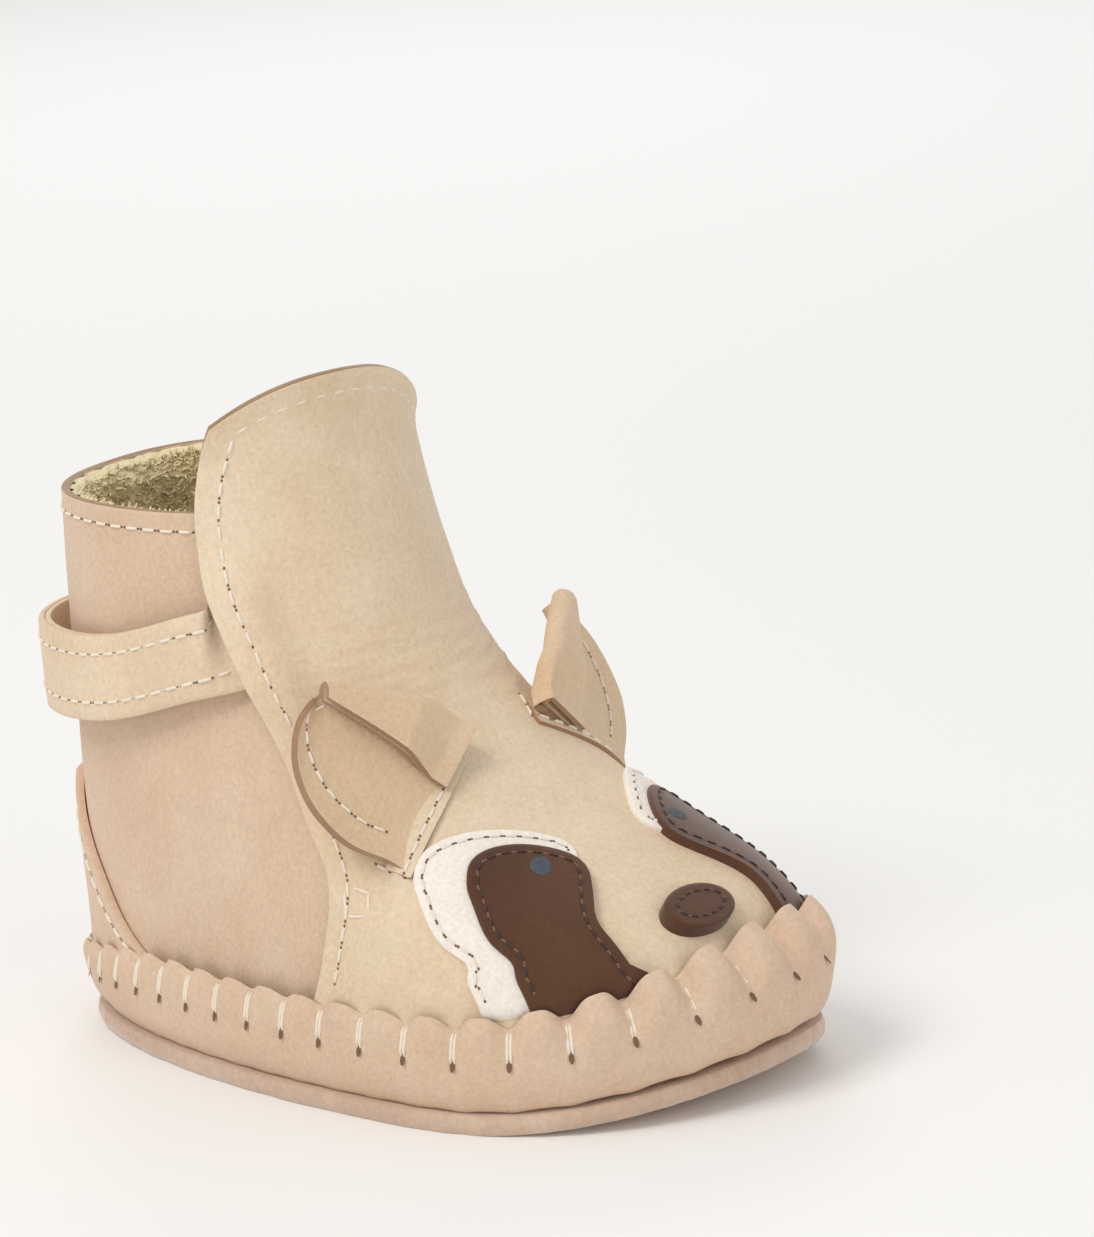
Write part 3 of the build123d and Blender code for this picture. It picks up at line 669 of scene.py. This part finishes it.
def thread_piece(name, centre, direction, up_from, span, radius, node, body, material, slot, holes):
    """Capsules of thread: rings of six points along an arch that dips at both ends, plus dark hole discs,
    painted shade for the needle holes.
    """
    side = np.cross(up_from, direction)
    s = np.linspace(-1, 1, 7)
    angle = np.arange(6) * math.pi / 3
    arch = radius * (1.1 * np.sqrt(np.maximum(0, 1 - s**4)) - 0.75)
    thick = radius * (1 - 0.55 * s**6)
    middle = centre[:, None] + spread(direction, s * span / 2) + spread(up_from, arch)
    ring = spread(side, np.cos(angle)) + spread(up_from, np.sin(angle))
    verts = (middle[:, :, None] + ring[:, None] * thick[None, :, None, None]).reshape(-1, 3)
    count = len(centre)
    one = grid_faces(len(s), len(angle), True)
    offsets = np.arange(count)[:, None, None] * (len(s) * len(angle))
    faces = (offsets + one).reshape(-1, 4)[:, ::-1].tolist()
    kinds = [0] * len(faces)
    if holes:
        base = len(verts)
        reach = direction * (span / 2 + 0.12)
        ends = np.concatenate([centre - reach, centre + reach])
        ways, lifts, sides = np.tile(direction, (2, 1)), np.tile(up_from, (2, 1)), np.tile(side, (2, 1))
        turn8 = np.arange(8) * math.pi / 4
        rim = spread(ways, np.cos(turn8)) * 0.27 + spread(sides, np.sin(turn8)) * 0.2
        discs = (ends[:, None] + rim + lifts[:, None] * 0.03).reshape(-1, 3)
        verts = np.concatenate([verts, discs])
        hole_faces = (np.arange(2 * count)[:, None] * 8 + np.arange(8) + base).tolist()
        faces += hole_faces
        kinds += [1] * len(hole_faces)
    piece = make_piece(name, verts, faces, material, node, body, slot)
    piece.data.materials.append(painted_hole_shade)
    piece.data.polygons.foreach_set("material_index", kinds)
    return piece


def panel_run(turn, z, lift=PANEL):
    """A line on the front panel or quarter, from turns and heights, with its normals."""
    turn, z = np.asarray(turn, float), np.asarray(z, float)
    height = np.full(turn.shape, lift)
    if lift >= PANEL:
        across = turn / turn_at(soft_line(z, EDGE_Z, EDGE_Y), z, 1.0)
        height = height + creases(turn, z) + over_strap(across, z)
    return on_last(turn, z, height), form_normal(LAST, turn, z)


def edge_run(z_low, z_high, side, inset=3.4, count=200):
    """A line inside the front panel's rear edge."""
    z = np.linspace(z_low, z_high, count)
    return turn_at(soft_line(z, EDGE_Z, EDGE_Y) - inset, z, side), z


runs = [panel_run(*edge_run(20.5, FOLD_Z, side)) for side in (-1, 1)]
thread_group("panel_edge_thread", runs, "vamp_edge_stitches", "root")
left_turn, left_z = edge_run(FOLD_Z, 96.0, -1)
right_turn, right_z = edge_run(FOLD_Z, 90.0, 1)
top_turn = np.linspace(left_turn[-1] + 0.1, right_turn[-1] - 0.1, 200)
top_z = tongue_top(top_turn) - 3.2
tongue_turn = np.concatenate([left_turn, top_turn, right_turn[::-1]])
tongue_z = np.concatenate([left_z, top_z, right_z[::-1]])
thread_group("tongue_thread", [panel_run(tongue_turn, tongue_z)], "tongue_stitches", "tongue")
line_z = np.full(300, QUARTER_TOP - 3.0)
line_start = turn_at(soft_line(line_z, EDGE_Z, EDGE_Y) + 0.6, line_z, 1.0)[0]
line_turn = np.linspace(line_start, 2 * math.pi - line_start, 300)
thread_group("topline_thread", [panel_run(line_turn, line_z, 0.0)], "topline_stitches", "root")

# ---- heel patch ----------------------------------------------------------------------------------
# A second layer of nubuck low on the heel, with a thick raw front edge and one row of stitches.
PATCH_Y, PATCH_Z = [30, 42, 50, 57, 61.5], [12.5, 18.5, 27, 36, 44]
PATCH_LOW, PATCH_HIGH, PATCH_LIFT = 11.0, 41.0, 0.2 + LEATHER
U, V = np.meshgrid(np.linspace(-1, 1, 121), np.linspace(0, 1, 41))
patch_z = PATCH_LOW + (PATCH_HIGH - PATCH_LOW) * V
patch_station = soft_line(patch_z, PATCH_Z, PATCH_Y)
patch_turn = math.pi - (math.pi - turn_at(np.minimum(patch_station, 61.4), patch_z, 1.0)) * U
heel_points = on_last(patch_turn, patch_z, np.full(U.shape, PATCH_LIFT))
heel = make_piece(
    "heel_leather", heel_points, grid_faces(*U.shape)[:, ::-1], nubuck, "heel_patch", "root", "nubuck",
)
thicken(heel, LEATHER, -1.0, 0.3)
heel_runs = []
for side in (-1, 1):
    run_z = np.linspace(15.0, 37.0, 100)
    run_turn = turn_at(np.minimum(soft_line(run_z, PATCH_Z, PATCH_Y) + 3.0, 61.8), run_z, side)
    heel_runs.append(panel_run(run_turn, run_z, PATCH_LIFT))
thread_group("heel_thread", heel_runs, "heel_patch_stitches", "root")

# ---- gathering stitches --------------------------------------------------------------------------
# Thick cream thread. At every pucker one loop comes over the edge of the moccasin bottom, runs down
# its outside and goes in through a pulled hole, drawn as a long dark disc of painted shade.
pucker_turn = np.interp(np.arange(LOBES), phase_table, perimeter_turn)
hole_at = wrap_point(pucker_turn, np.full(LOBES, 0.66))
edge_at = wrap_point(pucker_turn, np.full(LOBES, 0.97))
out = form_normal(BOTTOM, pucker_turn, np.full(LOBES, 16.0))
run_down = hole_at - edge_at
gather_centre = (hole_at + edge_at) / 2 + out * 0.25
gather_span = np.linalg.norm(run_down, axis=1).mean()
run_down /= np.linalg.norm(run_down, axis=1, keepdims=True)
gather_up = out - run_down * np.sum(out * run_down, 1, keepdims=True)
gather_up /= np.linalg.norm(gather_up, axis=1, keepdims=True)
sideways = np.cross(gather_up, run_down)
pair_centre = np.concatenate([gather_centre + sideways * 0.28, gather_centre - sideways * 0.28])
thread_piece(
    "gathering_thread", pair_centre, np.tile(run_down, (2, 1)), np.tile(
        gather_up, (2, 1),
    ), gather_span, 0.3,
    "gathering_stitches", "root", thread, "cream_thread", False,
)
# The pulled holes: flat dark discs, painted shade where the thread goes into the leather.
pull = np.arange(10) * 2 * math.pi / 10
hole_rim = spread(run_down, np.cos(pull)) * 0.95 + spread(sideways, np.sin(pull)) * 0.42
hole_verts = (hole_at + run_down * 0.5 + out * 0.12)[:, None] + hole_rim
hole_faces = np.arange(LOBES * 10).reshape(LOBES, 10).tolist()
make_piece("gathering_hole_shade", hole_verts, hole_faces, painted_hole_shade, None, "root", "cream_thread")

# ---- strap ---------------------------------------------------------------------------------------
# Two plies of nubuck, stitched along both edges, about 13 mm wide. It leaves the tongue under its
# outer edge, goes round the heel with some slack, and its tab closes on the inner side.
STRAP_FORM = np.array([(level, -6.0, 61.4, 26.0, 22.0, 2.10, 0.0, 0.02) for level in (0, 200)])
STRAP_WIDTH, STRAP_AIR, STRAP_LEVEL = 13.5, 2.0, 66.0
STRAP_CORNERS = [0, 0.42, 0.5, 0.92, 1]
STRAP_Y, STRAP_HIGH = [5, 16, 34, 70], [79.0, 76.0, 70.5, 67.5]
STRAP_START_LOW = float(turn_at(np.array(8.5), np.array(63.0), -1))
STRAP_START_HIGH = float(turn_at(np.array(13.5), np.array(76.0), -1))
STRAP_END = float(turn_at(np.array(19.0), np.array(64.0), 1))
strap_nubuck = leather_grain("strap_nubuck", "e6d0b4", "dac09f", "e6ccb0", 0.7, 0.35, 0.05, 0.12)


def strap_point(share, across, off):
    """The strap: share runs from the tongue's edge (0) round to the tab's tip (1), across is up it."""
    start = STRAP_START_LOW + (STRAP_START_HIGH - STRAP_START_LOW) * across
    turn = start - share * (2 * math.pi + start - STRAP_END)
    tuck = np.clip(1.5 - share / 0.05, 0, 1)
    tuck = tuck * tuck * (3 - 2 * tuck)
    loose = section_point(STRAP_FORM, turn, np.full_like(turn, STRAP_LEVEL))
    level = soft_line(loose[..., 1], STRAP_Y, STRAP_HIGH) - STRAP_WIDTH * (1 - across)
    flat = loose + (section_point(LAST, turn, level) - loose) * tuck[..., None]
    normal = form_normal(STRAP_FORM, turn, np.full_like(turn, STRAP_LEVEL))
    sag = 0.6 * np.sin(share * 17) * np.clip(share / 0.1, 0, 1) * (across - 0.5)
    point = flat + normal * (STRAP_AIR + off - (STRAP_AIR - 0.2) * tuck + sag)[..., None]
    point[..., 2] = level
    return point, normal


for layer, inner, outer in (("backing", 0.0, 1.0), ("face", 1.02, 2.0)):
    share_axis = np.linspace(0, 1, 181)
    profile = np.linspace(0, 1, 33)
    across_axis = np.interp(profile, STRAP_CORNERS, [0, 1, 1, 0, 0])
    off_axis = np.interp(profile, STRAP_CORNERS, [outer, outer, inner, inner, outer])
    edge_soft = 0.12 * np.sin(np.pi * np.clip(across_axis, 0, 1)) ** 0.5
    S, A = np.meshgrid(share_axis, across_axis[:-1], indexing="ij")
    O = np.broadcast_to(off_axis[:-1], S.shape)
    tip = np.clip((S - 0.97) / 0.03, 0, 1) ** 2
    band, _ = strap_point(S, 0.5 + (A - 0.5) * (1 - 0.35 * tip), O + np.where(O > inner, edge_soft[:-1], 0))
    faces = grid_faces(181, 32, True).tolist()
    faces.append(list(range(32)))
    faces.append(list(range(180 * 32, 181 * 32))[::-1])
    strap = make_piece(f"strap_{layer}_leather", band, faces, strap_nubuck)
    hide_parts(f"strap_{layer}", f"strap_tab_{layer}")
    strap.modifiers.new("round", "BEVEL").width = 0.15 * MM
    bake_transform(strap)


def strap_run(low, high, across):
    """A line along the strap's face between two shares of its length."""
    share = np.linspace(low, high, 240)
    return strap_point(share, np.full(240, across), np.full(240, 2.05))


strap_edge = 2.9 / STRAP_WIDTH
for name, low, high, node, body in (
    ("strap_thread", 0.02, 0.7, "strap_stitches", "strap"),
    ("strap_tab_thread", 0.78, 0.98, "strap_tab_stitches", "strap_tab"),
):
    thread_group(
        name, [strap_run(low, high, across) for across in (1 - strap_edge, strap_edge)], node, body,
    )

# ---- ears ----------------------------------------------------------------------------------------
# Two plies of nubuck sewn together and set in a slit across the vamp. The leaf is cupped, and its
# upper edge is rolled forward over it so that the thick cut edge shows.
EAR_LOW, EAR_HIGH = np.array([-27.0, -15.5, 38.5]), np.array([-7.8, -14.6, 54.6])
FACE_X = 1.3
EAR_LEFT = np.array([(-12.5, 0), (-14, 7), (-12.5, 14), (-8, 19.5), (-2, 22), (3.5, 21.5)])
EAR_ROLL, EAR_FLAP = 1.5, 9.5
EAR_LEAN = math.radians(30)
ear_nubuck = leather_grain("ear_nubuck", "e0c6a6", "d4b793", "e2c4a4", 0.75, 0.3, 0.07, 0.15)


def unit(vector):
    """The same direction with length one."""
    return vector / np.linalg.norm(vector)


def ear_frame(side):
    """The ear's root, the slit's direction, the way it grows, the way it faces and the way outwards."""
    ends = [EAR_LOW, EAR_HIGH]
    if side > 0:
        ends = [np.array([2 * FACE_X - end[0], end[1], end[2]]) for end in ends]
    along = unit(ends[1] - ends[0])
    middle = (ends[0] + ends[1]) / 2
    outwards = unit(middle - np.array([FACE_X, middle[1] + 14, 26]))
    back_way = unit(np.cross(outwards, along)) * -side
    outwards = unit(np.cross(along, back_way)) * -side
    grows = back_way * math.cos(EAR_LEAN) + outwards * math.sin(EAR_LEAN)
    facing = np.cross(along, grows) * -side
    return middle + outwards * 2.4, along, grows, facing, outwards


def ear_leaf(q, s, low):
    """The ear as rows from its free edge to its fold line, then a roll forwards and a flap.

    q goes from the seam (0) to the tip (1). s from 0 to 1 crosses the hollow leaf; from 1 to 2 it goes
    round a half circle of the roll's radius and then back over the leaf, a width that falls to the tip."""
    place = np.linspace(0, 1, len(EAR_LEFT))
    left_x, left_g = (soft_line(np.clip(q, 0, 1), place, EAR_LEFT[:, axis]) for axis in (0, 1))
    fold_x = 12.5 - 9.0 * np.clip(q, 0, 1) ** 1.3
    fold_g = 21.5 * np.clip(q, 0, 1)
    across = np.clip(s, 0, 1)
    hollow = 2.4 * (1 - np.sin(np.pi * (0.15 + 0.85 * across))) * np.clip(q * 3, 0, 1)
    radius = EAR_ROLL - low * 0.5
    arc = np.clip(s - 1, 0, 1) * (math.pi * radius + EAR_FLAP * np.clip(1 - q, 0, 1) ** 0.9 + 0.8)
    angle = np.minimum(arc / radius, math.pi)
    beyond = arc - angle * radius
    way = 0.5 * q
    back = radius * np.sin(angle) * np.clip(q * 5, 0.15, 1) - beyond
    x = left_x + (fold_x - left_x) * across + np.cos(way) * back
    g = left_g + (fold_g - left_g) * across + np.sin(way) * back * np.clip(q * 4, 0, 1)
    g = g + 32 * np.minimum(q, 0)
    lift = low * np.cos(angle) + radius * (1 - np.cos(angle)) - 0.07 * beyond
    return x, g, hollow + lift


for side, label in SIDES:
    root_at, along, grows, facing, _ = ear_frame(side)
    Q, S2 = np.meshgrid(np.linspace(-0.09, 0.985, 49), np.linspace(0, 2, 81), indexing="ij")
    body = f"{label}_ear"
    for ply, low in (("back", 0.0), ("front", 0.85)):
        x, g, n = ear_leaf(Q, S2, low)
        leaf = root_at + along * x[..., None] + grows * g[..., None] + facing * n[..., None]
        ear_faces = grid_faces(*Q.shape)[:, ::-side]
        ear = make_piece(
            f"{label}_ear_leather_{ply}", leaf, ear_faces, ear_nubuck, f"{label}_ear_{ply}", body, "nubuck",
        )
        thicken(ear, 0.8, 0.0, 0.2, cut_edge)
    walk = np.linspace(0, 1, 150)
    q_line = np.clip(0.06 + 1.05 * walk, 0, 0.86)
    s_line = 0.17 + 0.03 * walk + 0.55 * np.clip((walk - 0.78) / 0.22, 0, 1)
    x, g, n = ear_leaf(q_line, s_line, 1.3)
    ear_path = root_at + along * x[:, None] + grows * g[:, None] + facing * n[:, None]
    ear_run = (ear_path, np.tile(facing, (150, 1)))
    thread_group(f"{label}_ear_thread", [ear_run], f"{label}_ear_stitches", body, None, 3.0, 2.2, 0.23)

# ---- face ----------------------------------------------------------------------------------------
# Thin applique shapes sewn on the vamp: white kid round the eyes with brown suede over it, a printed
# slate dot for each pupil, and a thick oval of brown suede for the nose.
suede = leather_grain("brown_suede", "5d3c28", "4c2f1f", "6a4630", 0.95, 0.3, 0.09, 0.35)
white_kid = leather_grain("white_kid", "f6eee4", "efe4d8", "f8f1e8", 0.6, 0.3, 0.04, 0.05)
PATCH = 0.8


def drop_outline(top, cap, head, tail, flare, notch):
    """A drop sewn over the cheek, as a closed line of turns in degrees and heights in millimetres.

    Its middle slides from the head's to the tail's by a smooth step. Its half width is a round cap's,
    then goes from the head's to the tail's by the same step; the front side flares at the foot, and
    the rear side has one small notch. head and tail are (middle, half width) in degrees."""
    down = np.linspace(0, 1, 90) ** 1.6
    z = top - (top - PATCH_FOOT) * down
    step = np.clip((top - z - 0.35 * cap) / (1.7 * cap), 0, 1)
    step = step * step * (3 - 2 * step)
    cap_width = np.sqrt(1 - np.clip(1 - (top - z) / cap, 0, 1) ** 2)
    middle = head[0] + (tail[0] - head[0]) * step
    half = cap_width * (head[1] + (tail[1] - head[1]) * step)
    rear = middle - half + notch * np.exp(-(((z - 25.5) / 1.6) ** 2))
    front = middle + half + flare * np.clip((24 - z) / 6, 0, 1) ** 2
    return np.concatenate([np.stack([rear, z], -1), np.stack([front, z], -1)[::-1]])


PATCH_FOOT = 16.5
WHITE = drop_outline(41.3, 6.5, (-39.5, 24), (-59, 13), 0.0, 2.5)
BROWN = drop_outline(38.8, 5.5, (-37, 16.5), (-49, 12.5), 12.0, 1.5)


def even_outline(outline, count):
    """The same closed line with its points spaced evenly along it, a degree counted as half a millimetre."""
    closed = np.concatenate([outline, outline[:1]])
    steps = np.hypot(np.diff(closed[:, 0]) * 0.5, np.diff(closed[:, 1]))
    place = np.concatenate([[0], np.cumsum(steps)])
    at = np.linspace(0, place[-1], count, endpoint=False)
    return along_line(at, place, closed)


def face_turn(degrees, z, side):
    """Turn on the last for a place on the outer half of the face, or its mirror image."""
    middle = np.interp(z, [18, 24, 32, 41, 60], [-14, -13, -9, -4, 0])
    return np.radians(degrees if side < 0 else 2 * middle - degrees)


def disc_faces(rings, count):
    """A fan round a middle point, then quads between rings of count points."""
    fan = np.stack([np.zeros(count, int), 1 + (np.arange(count) + 1) % count, 1 + np.arange(count)], -1)
    return fan.tolist() + (grid_faces(rings, count, True) + 1).tolist()


def applique(name, outline, side, high, material, node, slot):
    """A flat shape on the face with a rounded cut edge, as rings that shrink to its middle."""
    edge = even_outline(outline, 160)
    centre = edge.mean(axis=0)
    shares = np.concatenate([np.linspace(0, 0.93, 14)[1:], [0.965, 0.985, 0.996, 1.0, 1.0]])
    heights = np.concatenate([np.full(13, high), [high, high - 0.06, high - 0.22, high - 0.4, -0.3]])
    rings = centre + (edge - centre) * shares[:, None, None]
    flat = np.concatenate([centre[None], rings.reshape(-1, 2)])
    lift = np.concatenate([[high], np.repeat(heights, 160)])
    turn = face_turn(flat[:, 0], flat[:, 1], side)
    height = flat[:, 1]
    over_seam = height - seam_height(section_point(LAST, turn, np.clip(height, 8, 30))[:, 1])
    lift = np.where(over_seam < 0.8, lift - 2.4 * np.clip((0.8 - over_seam) / 2.2, 0, 1), lift)
    points = on_last(turn, height, PANEL + lift)
    faces = disc_faces(18, 160)
    if side < 0:
        faces = [face[::-1] for face in faces]
    return make_piece(name, points, faces, material, node, "root", slot)


def inset_run(outline, side, inset, height, keep):
    """A line inside a shape's edge, as wide an inset all along, on the kept part of the outline."""
    edge = even_outline(outline, 400)
    turn = face_turn(edge[:, 0], edge[:, 1], side)
    rim = on_last(turn, edge[:, 1], np.full(400, PANEL + height))
    normal = form_normal(LAST, turn, edge[:, 1])
    way = np.roll(rim, -1, 0) - np.roll(rim, 1, 0)
    way /= np.linalg.norm(way, axis=1, keepdims=True)
    inwards = np.cross(normal, way)
    inwards *= np.sign(np.sum(inwards * (rim.mean(axis=0) - rim)))
    first, last = (int(400 * share) for share in keep)
    picked = np.arange(first, last) % 400
    return (rim + inwards * inset)[picked], normal[picked]


white_runs, brown_runs = [], []
for side, label in SIDES:
    applique(
        f"{label}_eye_white", WHITE, side, PATCH, white_kid, f"{label}_eye_patch_white", "white_leather",
    )
    applique(f"{label}_eye_brown", BROWN, side, 2 * PATCH, suede, f"{label}_eye_patch_brown", "brown_suede")
    white_runs.append(inset_run(WHITE, side, 1.5, PATCH, (0.83, 1.36)))
    brown_runs.append(inset_run(BROWN, side, 1.7, 2 * PATCH, (0.57, 1.31)))
thread_group(
    "white_patch_thread", white_runs, "white_patch_stitches", "root", pitch=2.6, span=1.9, radius=0.2,
)
thread_group(
    "brown_patch_thread", brown_runs, "brown_patch_stitches", "root", dark_thread, 2.4, 1.8, 0.22,
    "brown_thread",
)

pupil_print = new_material("pupil_print")
coords = add_node(pupil_print, "ShaderNodeTexCoord")
speckle = add_node(pupil_print, "ShaderNodeTexNoise", Vector=(coords, "Object"), Scale=2600.0, Detail=3.0)
speckle_mix = mix_colours(pupil_print, (speckle, "Fac"), linear("2b3138"), linear("56606a"))
put_surface(pupil_print, Base_Color=(speckle_mix, "Result"), Roughness=0.5)


def oval_pad(centre, x_way, y_way, z_way, half_x, half_y, thick, soft):
    """A domed oval: rings that grow from its middle, fall over a rounded rim and drop to its base."""
    count = 64
    angle = np.arange(count) * 2 * math.pi / count
    rim = np.linspace(0.2, math.pi / 2, 6)
    shares = np.concatenate([np.linspace(0, 0.8, 9)[1:], 0.8 + 0.2 * np.sin(rim), [1.0]])
    dome = thick + 0.1 - 0.1 * np.linspace(0, 1, 9)[1:] ** 2
    heights = np.concatenate([dome, thick - soft * (1 - np.cos(rim)), [-1.2]])
    ring = np.stack([np.cos(angle) * half_x, np.sin(angle) * half_y], -1)
    flat = (ring[None] * shares[:, None, None]).reshape(-1, 2)
    points = centre + flat[:, :1] * x_way + flat[:, 1:] * y_way + np.repeat(heights, count)[:, None] * z_way
    top = centre + z_way * (thick + 0.1)
    return np.concatenate([top[None], points]), disc_faces(len(shares), count)


PUPIL_DEGREES, PUPIL_Z, PUPIL_RADIUS = -33.5, 35.6, 1.75
pupil_parts = []
for side in (-1, 1):
    z = np.array(PUPIL_Z)
    turn = face_turn(PUPIL_DEGREES, z, side)
    seat = on_last(turn, z, PANEL + 2 * PATCH - 0.1)
    z_way = form_normal(LAST, turn, z)
    x_way = unit(np.cross(np.array([0, 0, 1.0]), z_way))
    y_way = np.cross(z_way, x_way)
    pupil_parts.append(oval_pad(seat, x_way, y_way, z_way, PUPIL_RADIUS, PUPIL_RADIUS, 0.22, 0.2))
verts = np.concatenate([part[0] for part in pupil_parts])
faces = pupil_parts[0][1] + [[index + len(pupil_parts[0][0]) for index in face] for face in pupil_parts[1][1]]
make_piece("printed_pupils", verts, faces, pupil_print, "pupils", "root", "pupil_print")

nose_z = np.array(27.6)
nose_turn = np.radians(-10.5)
nose_seat = on_last(nose_turn, nose_z, PANEL)
nose_up = form_normal(LAST, nose_turn, nose_z)
nose_x = unit(np.cross(np.array([0, 0, 1.0]), nose_up))
nose_y = np.cross(nose_up, nose_x)
nose_pad = oval_pad(nose_seat, nose_x, nose_y, nose_up, 6.7, 4.1, 2.2, 0.6)
make_piece("nose_suede", *nose_pad, suede, "nose_patch", "root", "brown_suede")
loop_angle = np.linspace(0, 2 * math.pi, 160)
nose_ring = nose_seat + nose_up * 2.25 + nose_x * (np.cos(loop_angle) * 4.5)[:, None]
nose_ring = nose_ring + nose_y * (np.sin(loop_angle) * 2.3)[:, None]
nose_run = (nose_ring, np.tile(nose_up, (160, 1)))
thread_group("nose_thread", [nose_run], "nose_stitches", "root", dark_thread, 1.9, 1.4, 0.2, "brown_thread")

# ---- slit seams and box tacks --------------------------------------------------------------------
# The edge of each slit is folded and sewn over the ear's root, with a tack across each end. Small
# squares of stitches lock the ends of the open edges of the front panel.
SLIT_AHEAD, WELT_LIFT = 3.2, 0.7
TACK_Z, TACK_HALF = {-1: 33.5, 1: 57.0}, 1.9


def surface_run(points):
    """A line laid on the panel: its nearest places on the panel's grid, smoothed by a cubic fit."""
    near = panel_points[::2, ::2].reshape(-1, 3)
    pick = np.argmin(((points[:, None] - near[None]) ** 2).sum(-1), axis=1)
    share = np.linspace(0, 1, len(points))
    turn = np.polyval(np.polyfit(share, panel_turn[::2, ::2].ravel()[pick], 3), share)
    z = np.polyval(np.polyfit(share, panel_z[::2, ::2].ravel()[pick], 3), share)
    return panel_run(turn, z)


slit_runs = []
for side, label in SIDES:
    root_at, along, _, _, outwards = ear_frame(side)
    ahead = -unit(np.cross(outwards, along)) * -side
    across = np.linspace(-13.5, 12.5, 160)[:, None]
    seam_line = root_at + along * across + ahead * SLIT_AHEAD
    on_panel, up = surface_run(seam_line)
    slit_runs.append((on_panel + up * WELT_LIFT, up))
    share = np.linspace(0, 1, 20)[:, None]
    for end in (seam_line[0], seam_line[-1]):
        slit_runs.append(surface_run(end - ahead * 5.0 * share))
    bands = [surface_run(seam_line - ahead * step) for step in np.linspace(-1.5, SLIT_AHEAD, 7)]
    welt_points = np.stack([points + normal * WELT_LIFT for points, normal in bands])
    welt_faces = grid_faces(7, 160)[:, ::-side]
    welt = make_piece(
        f"{label}_ear_welt", welt_points, welt_faces, vamp_nubuck, None, "root", "vamp_leather",
    )
    thicken(welt, 0.8, -1.0, 0.15, cut_edge)
thread_group("slit_thread", slit_runs, "ear_slit_stitches", "root", pitch=3.0, span=2.3, radius=0.25)


def tack_runs(side):
    """Four short lines round a square on the panel's edge."""
    z = TACK_Z[side]
    y = float(soft_line(np.array([z]), EDGE_Z, EDGE_Y)[0]) - 5.2
    h = TACK_HALF
    square = np.array([(y - h, z - h), (y + h, z - h), (y + h, z + h), (y - h, z + h)])
    corners = on_last(turn_at(square[:, 0], square[:, 1], side), square[:, 1], PANEL)
    share = np.linspace(0, 1, 12)[:, None]
    ends = np.roll(corners, -1, 0)
    return [surface_run(start + (end - start) * share) for start, end in zip(corners, ends)]


tack_parts = tack_runs(-1) + tack_runs(1)
thread_group("tack_thread", tack_parts, "box_tacks", "root", pitch=3.8, span=3.0, radius=0.24, holes=False)

# ---- hook and loop -------------------------------------------------------------------------------
# Woven nylon tape: hooks behind the closing tab, loops on the inner side of the quarter.
tape = new_material("nylon_tape")
coords = add_node(tape, "ShaderNodeTexCoord")
hooks = add_node(tape, "ShaderNodeTexVoronoi", Vector=(coords, "Object"), Scale=1100.0)
tape_mix = mix_colours(tape, (hooks, "Distance"), linear("d9ccb4"), linear("efe6d4"))
tape_bump = add_node(tape, "ShaderNodeBump", Height=(hooks, "Distance"), Strength=0.9, Distance=0.0004)
put_surface(tape, Base_Color=(tape_mix, "Result"), Roughness=0.8, Normal=(tape_bump, "Normal"))


def tape_pad(name, place, node, body):
    """A thin rounded pad: place gives points for two shares across and a height off its seat."""
    P, Q = np.meshgrid(np.linspace(0, 1, 31), np.linspace(0, 1, 21), indexing="ij")
    rim = np.minimum(np.minimum(P, 1 - P) / 0.04, np.minimum(Q, 1 - Q) / 0.06)
    make_piece(
        name, place(P, Q, np.clip(rim, 0, 1) ** 0.5), grid_faces(*P.shape), tape, node, body,
        "hook_and_loop",
    )


tape_pad(
    "loop_tape_pad", lambda p, q, h: on_last(1.5 + 0.55 * p, 57.5 + 11 * q, 0.1 + 0.3 * h), "loop_tape",
    "root",
)
tape_pad(
    "hook_tape_pad", lambda p, q, h: strap_point(0.83 + 0.15 * p, 0.12 + 0.76 * q, -0.3 * h)[0],
    "hook_tape", "strap_tab",
)
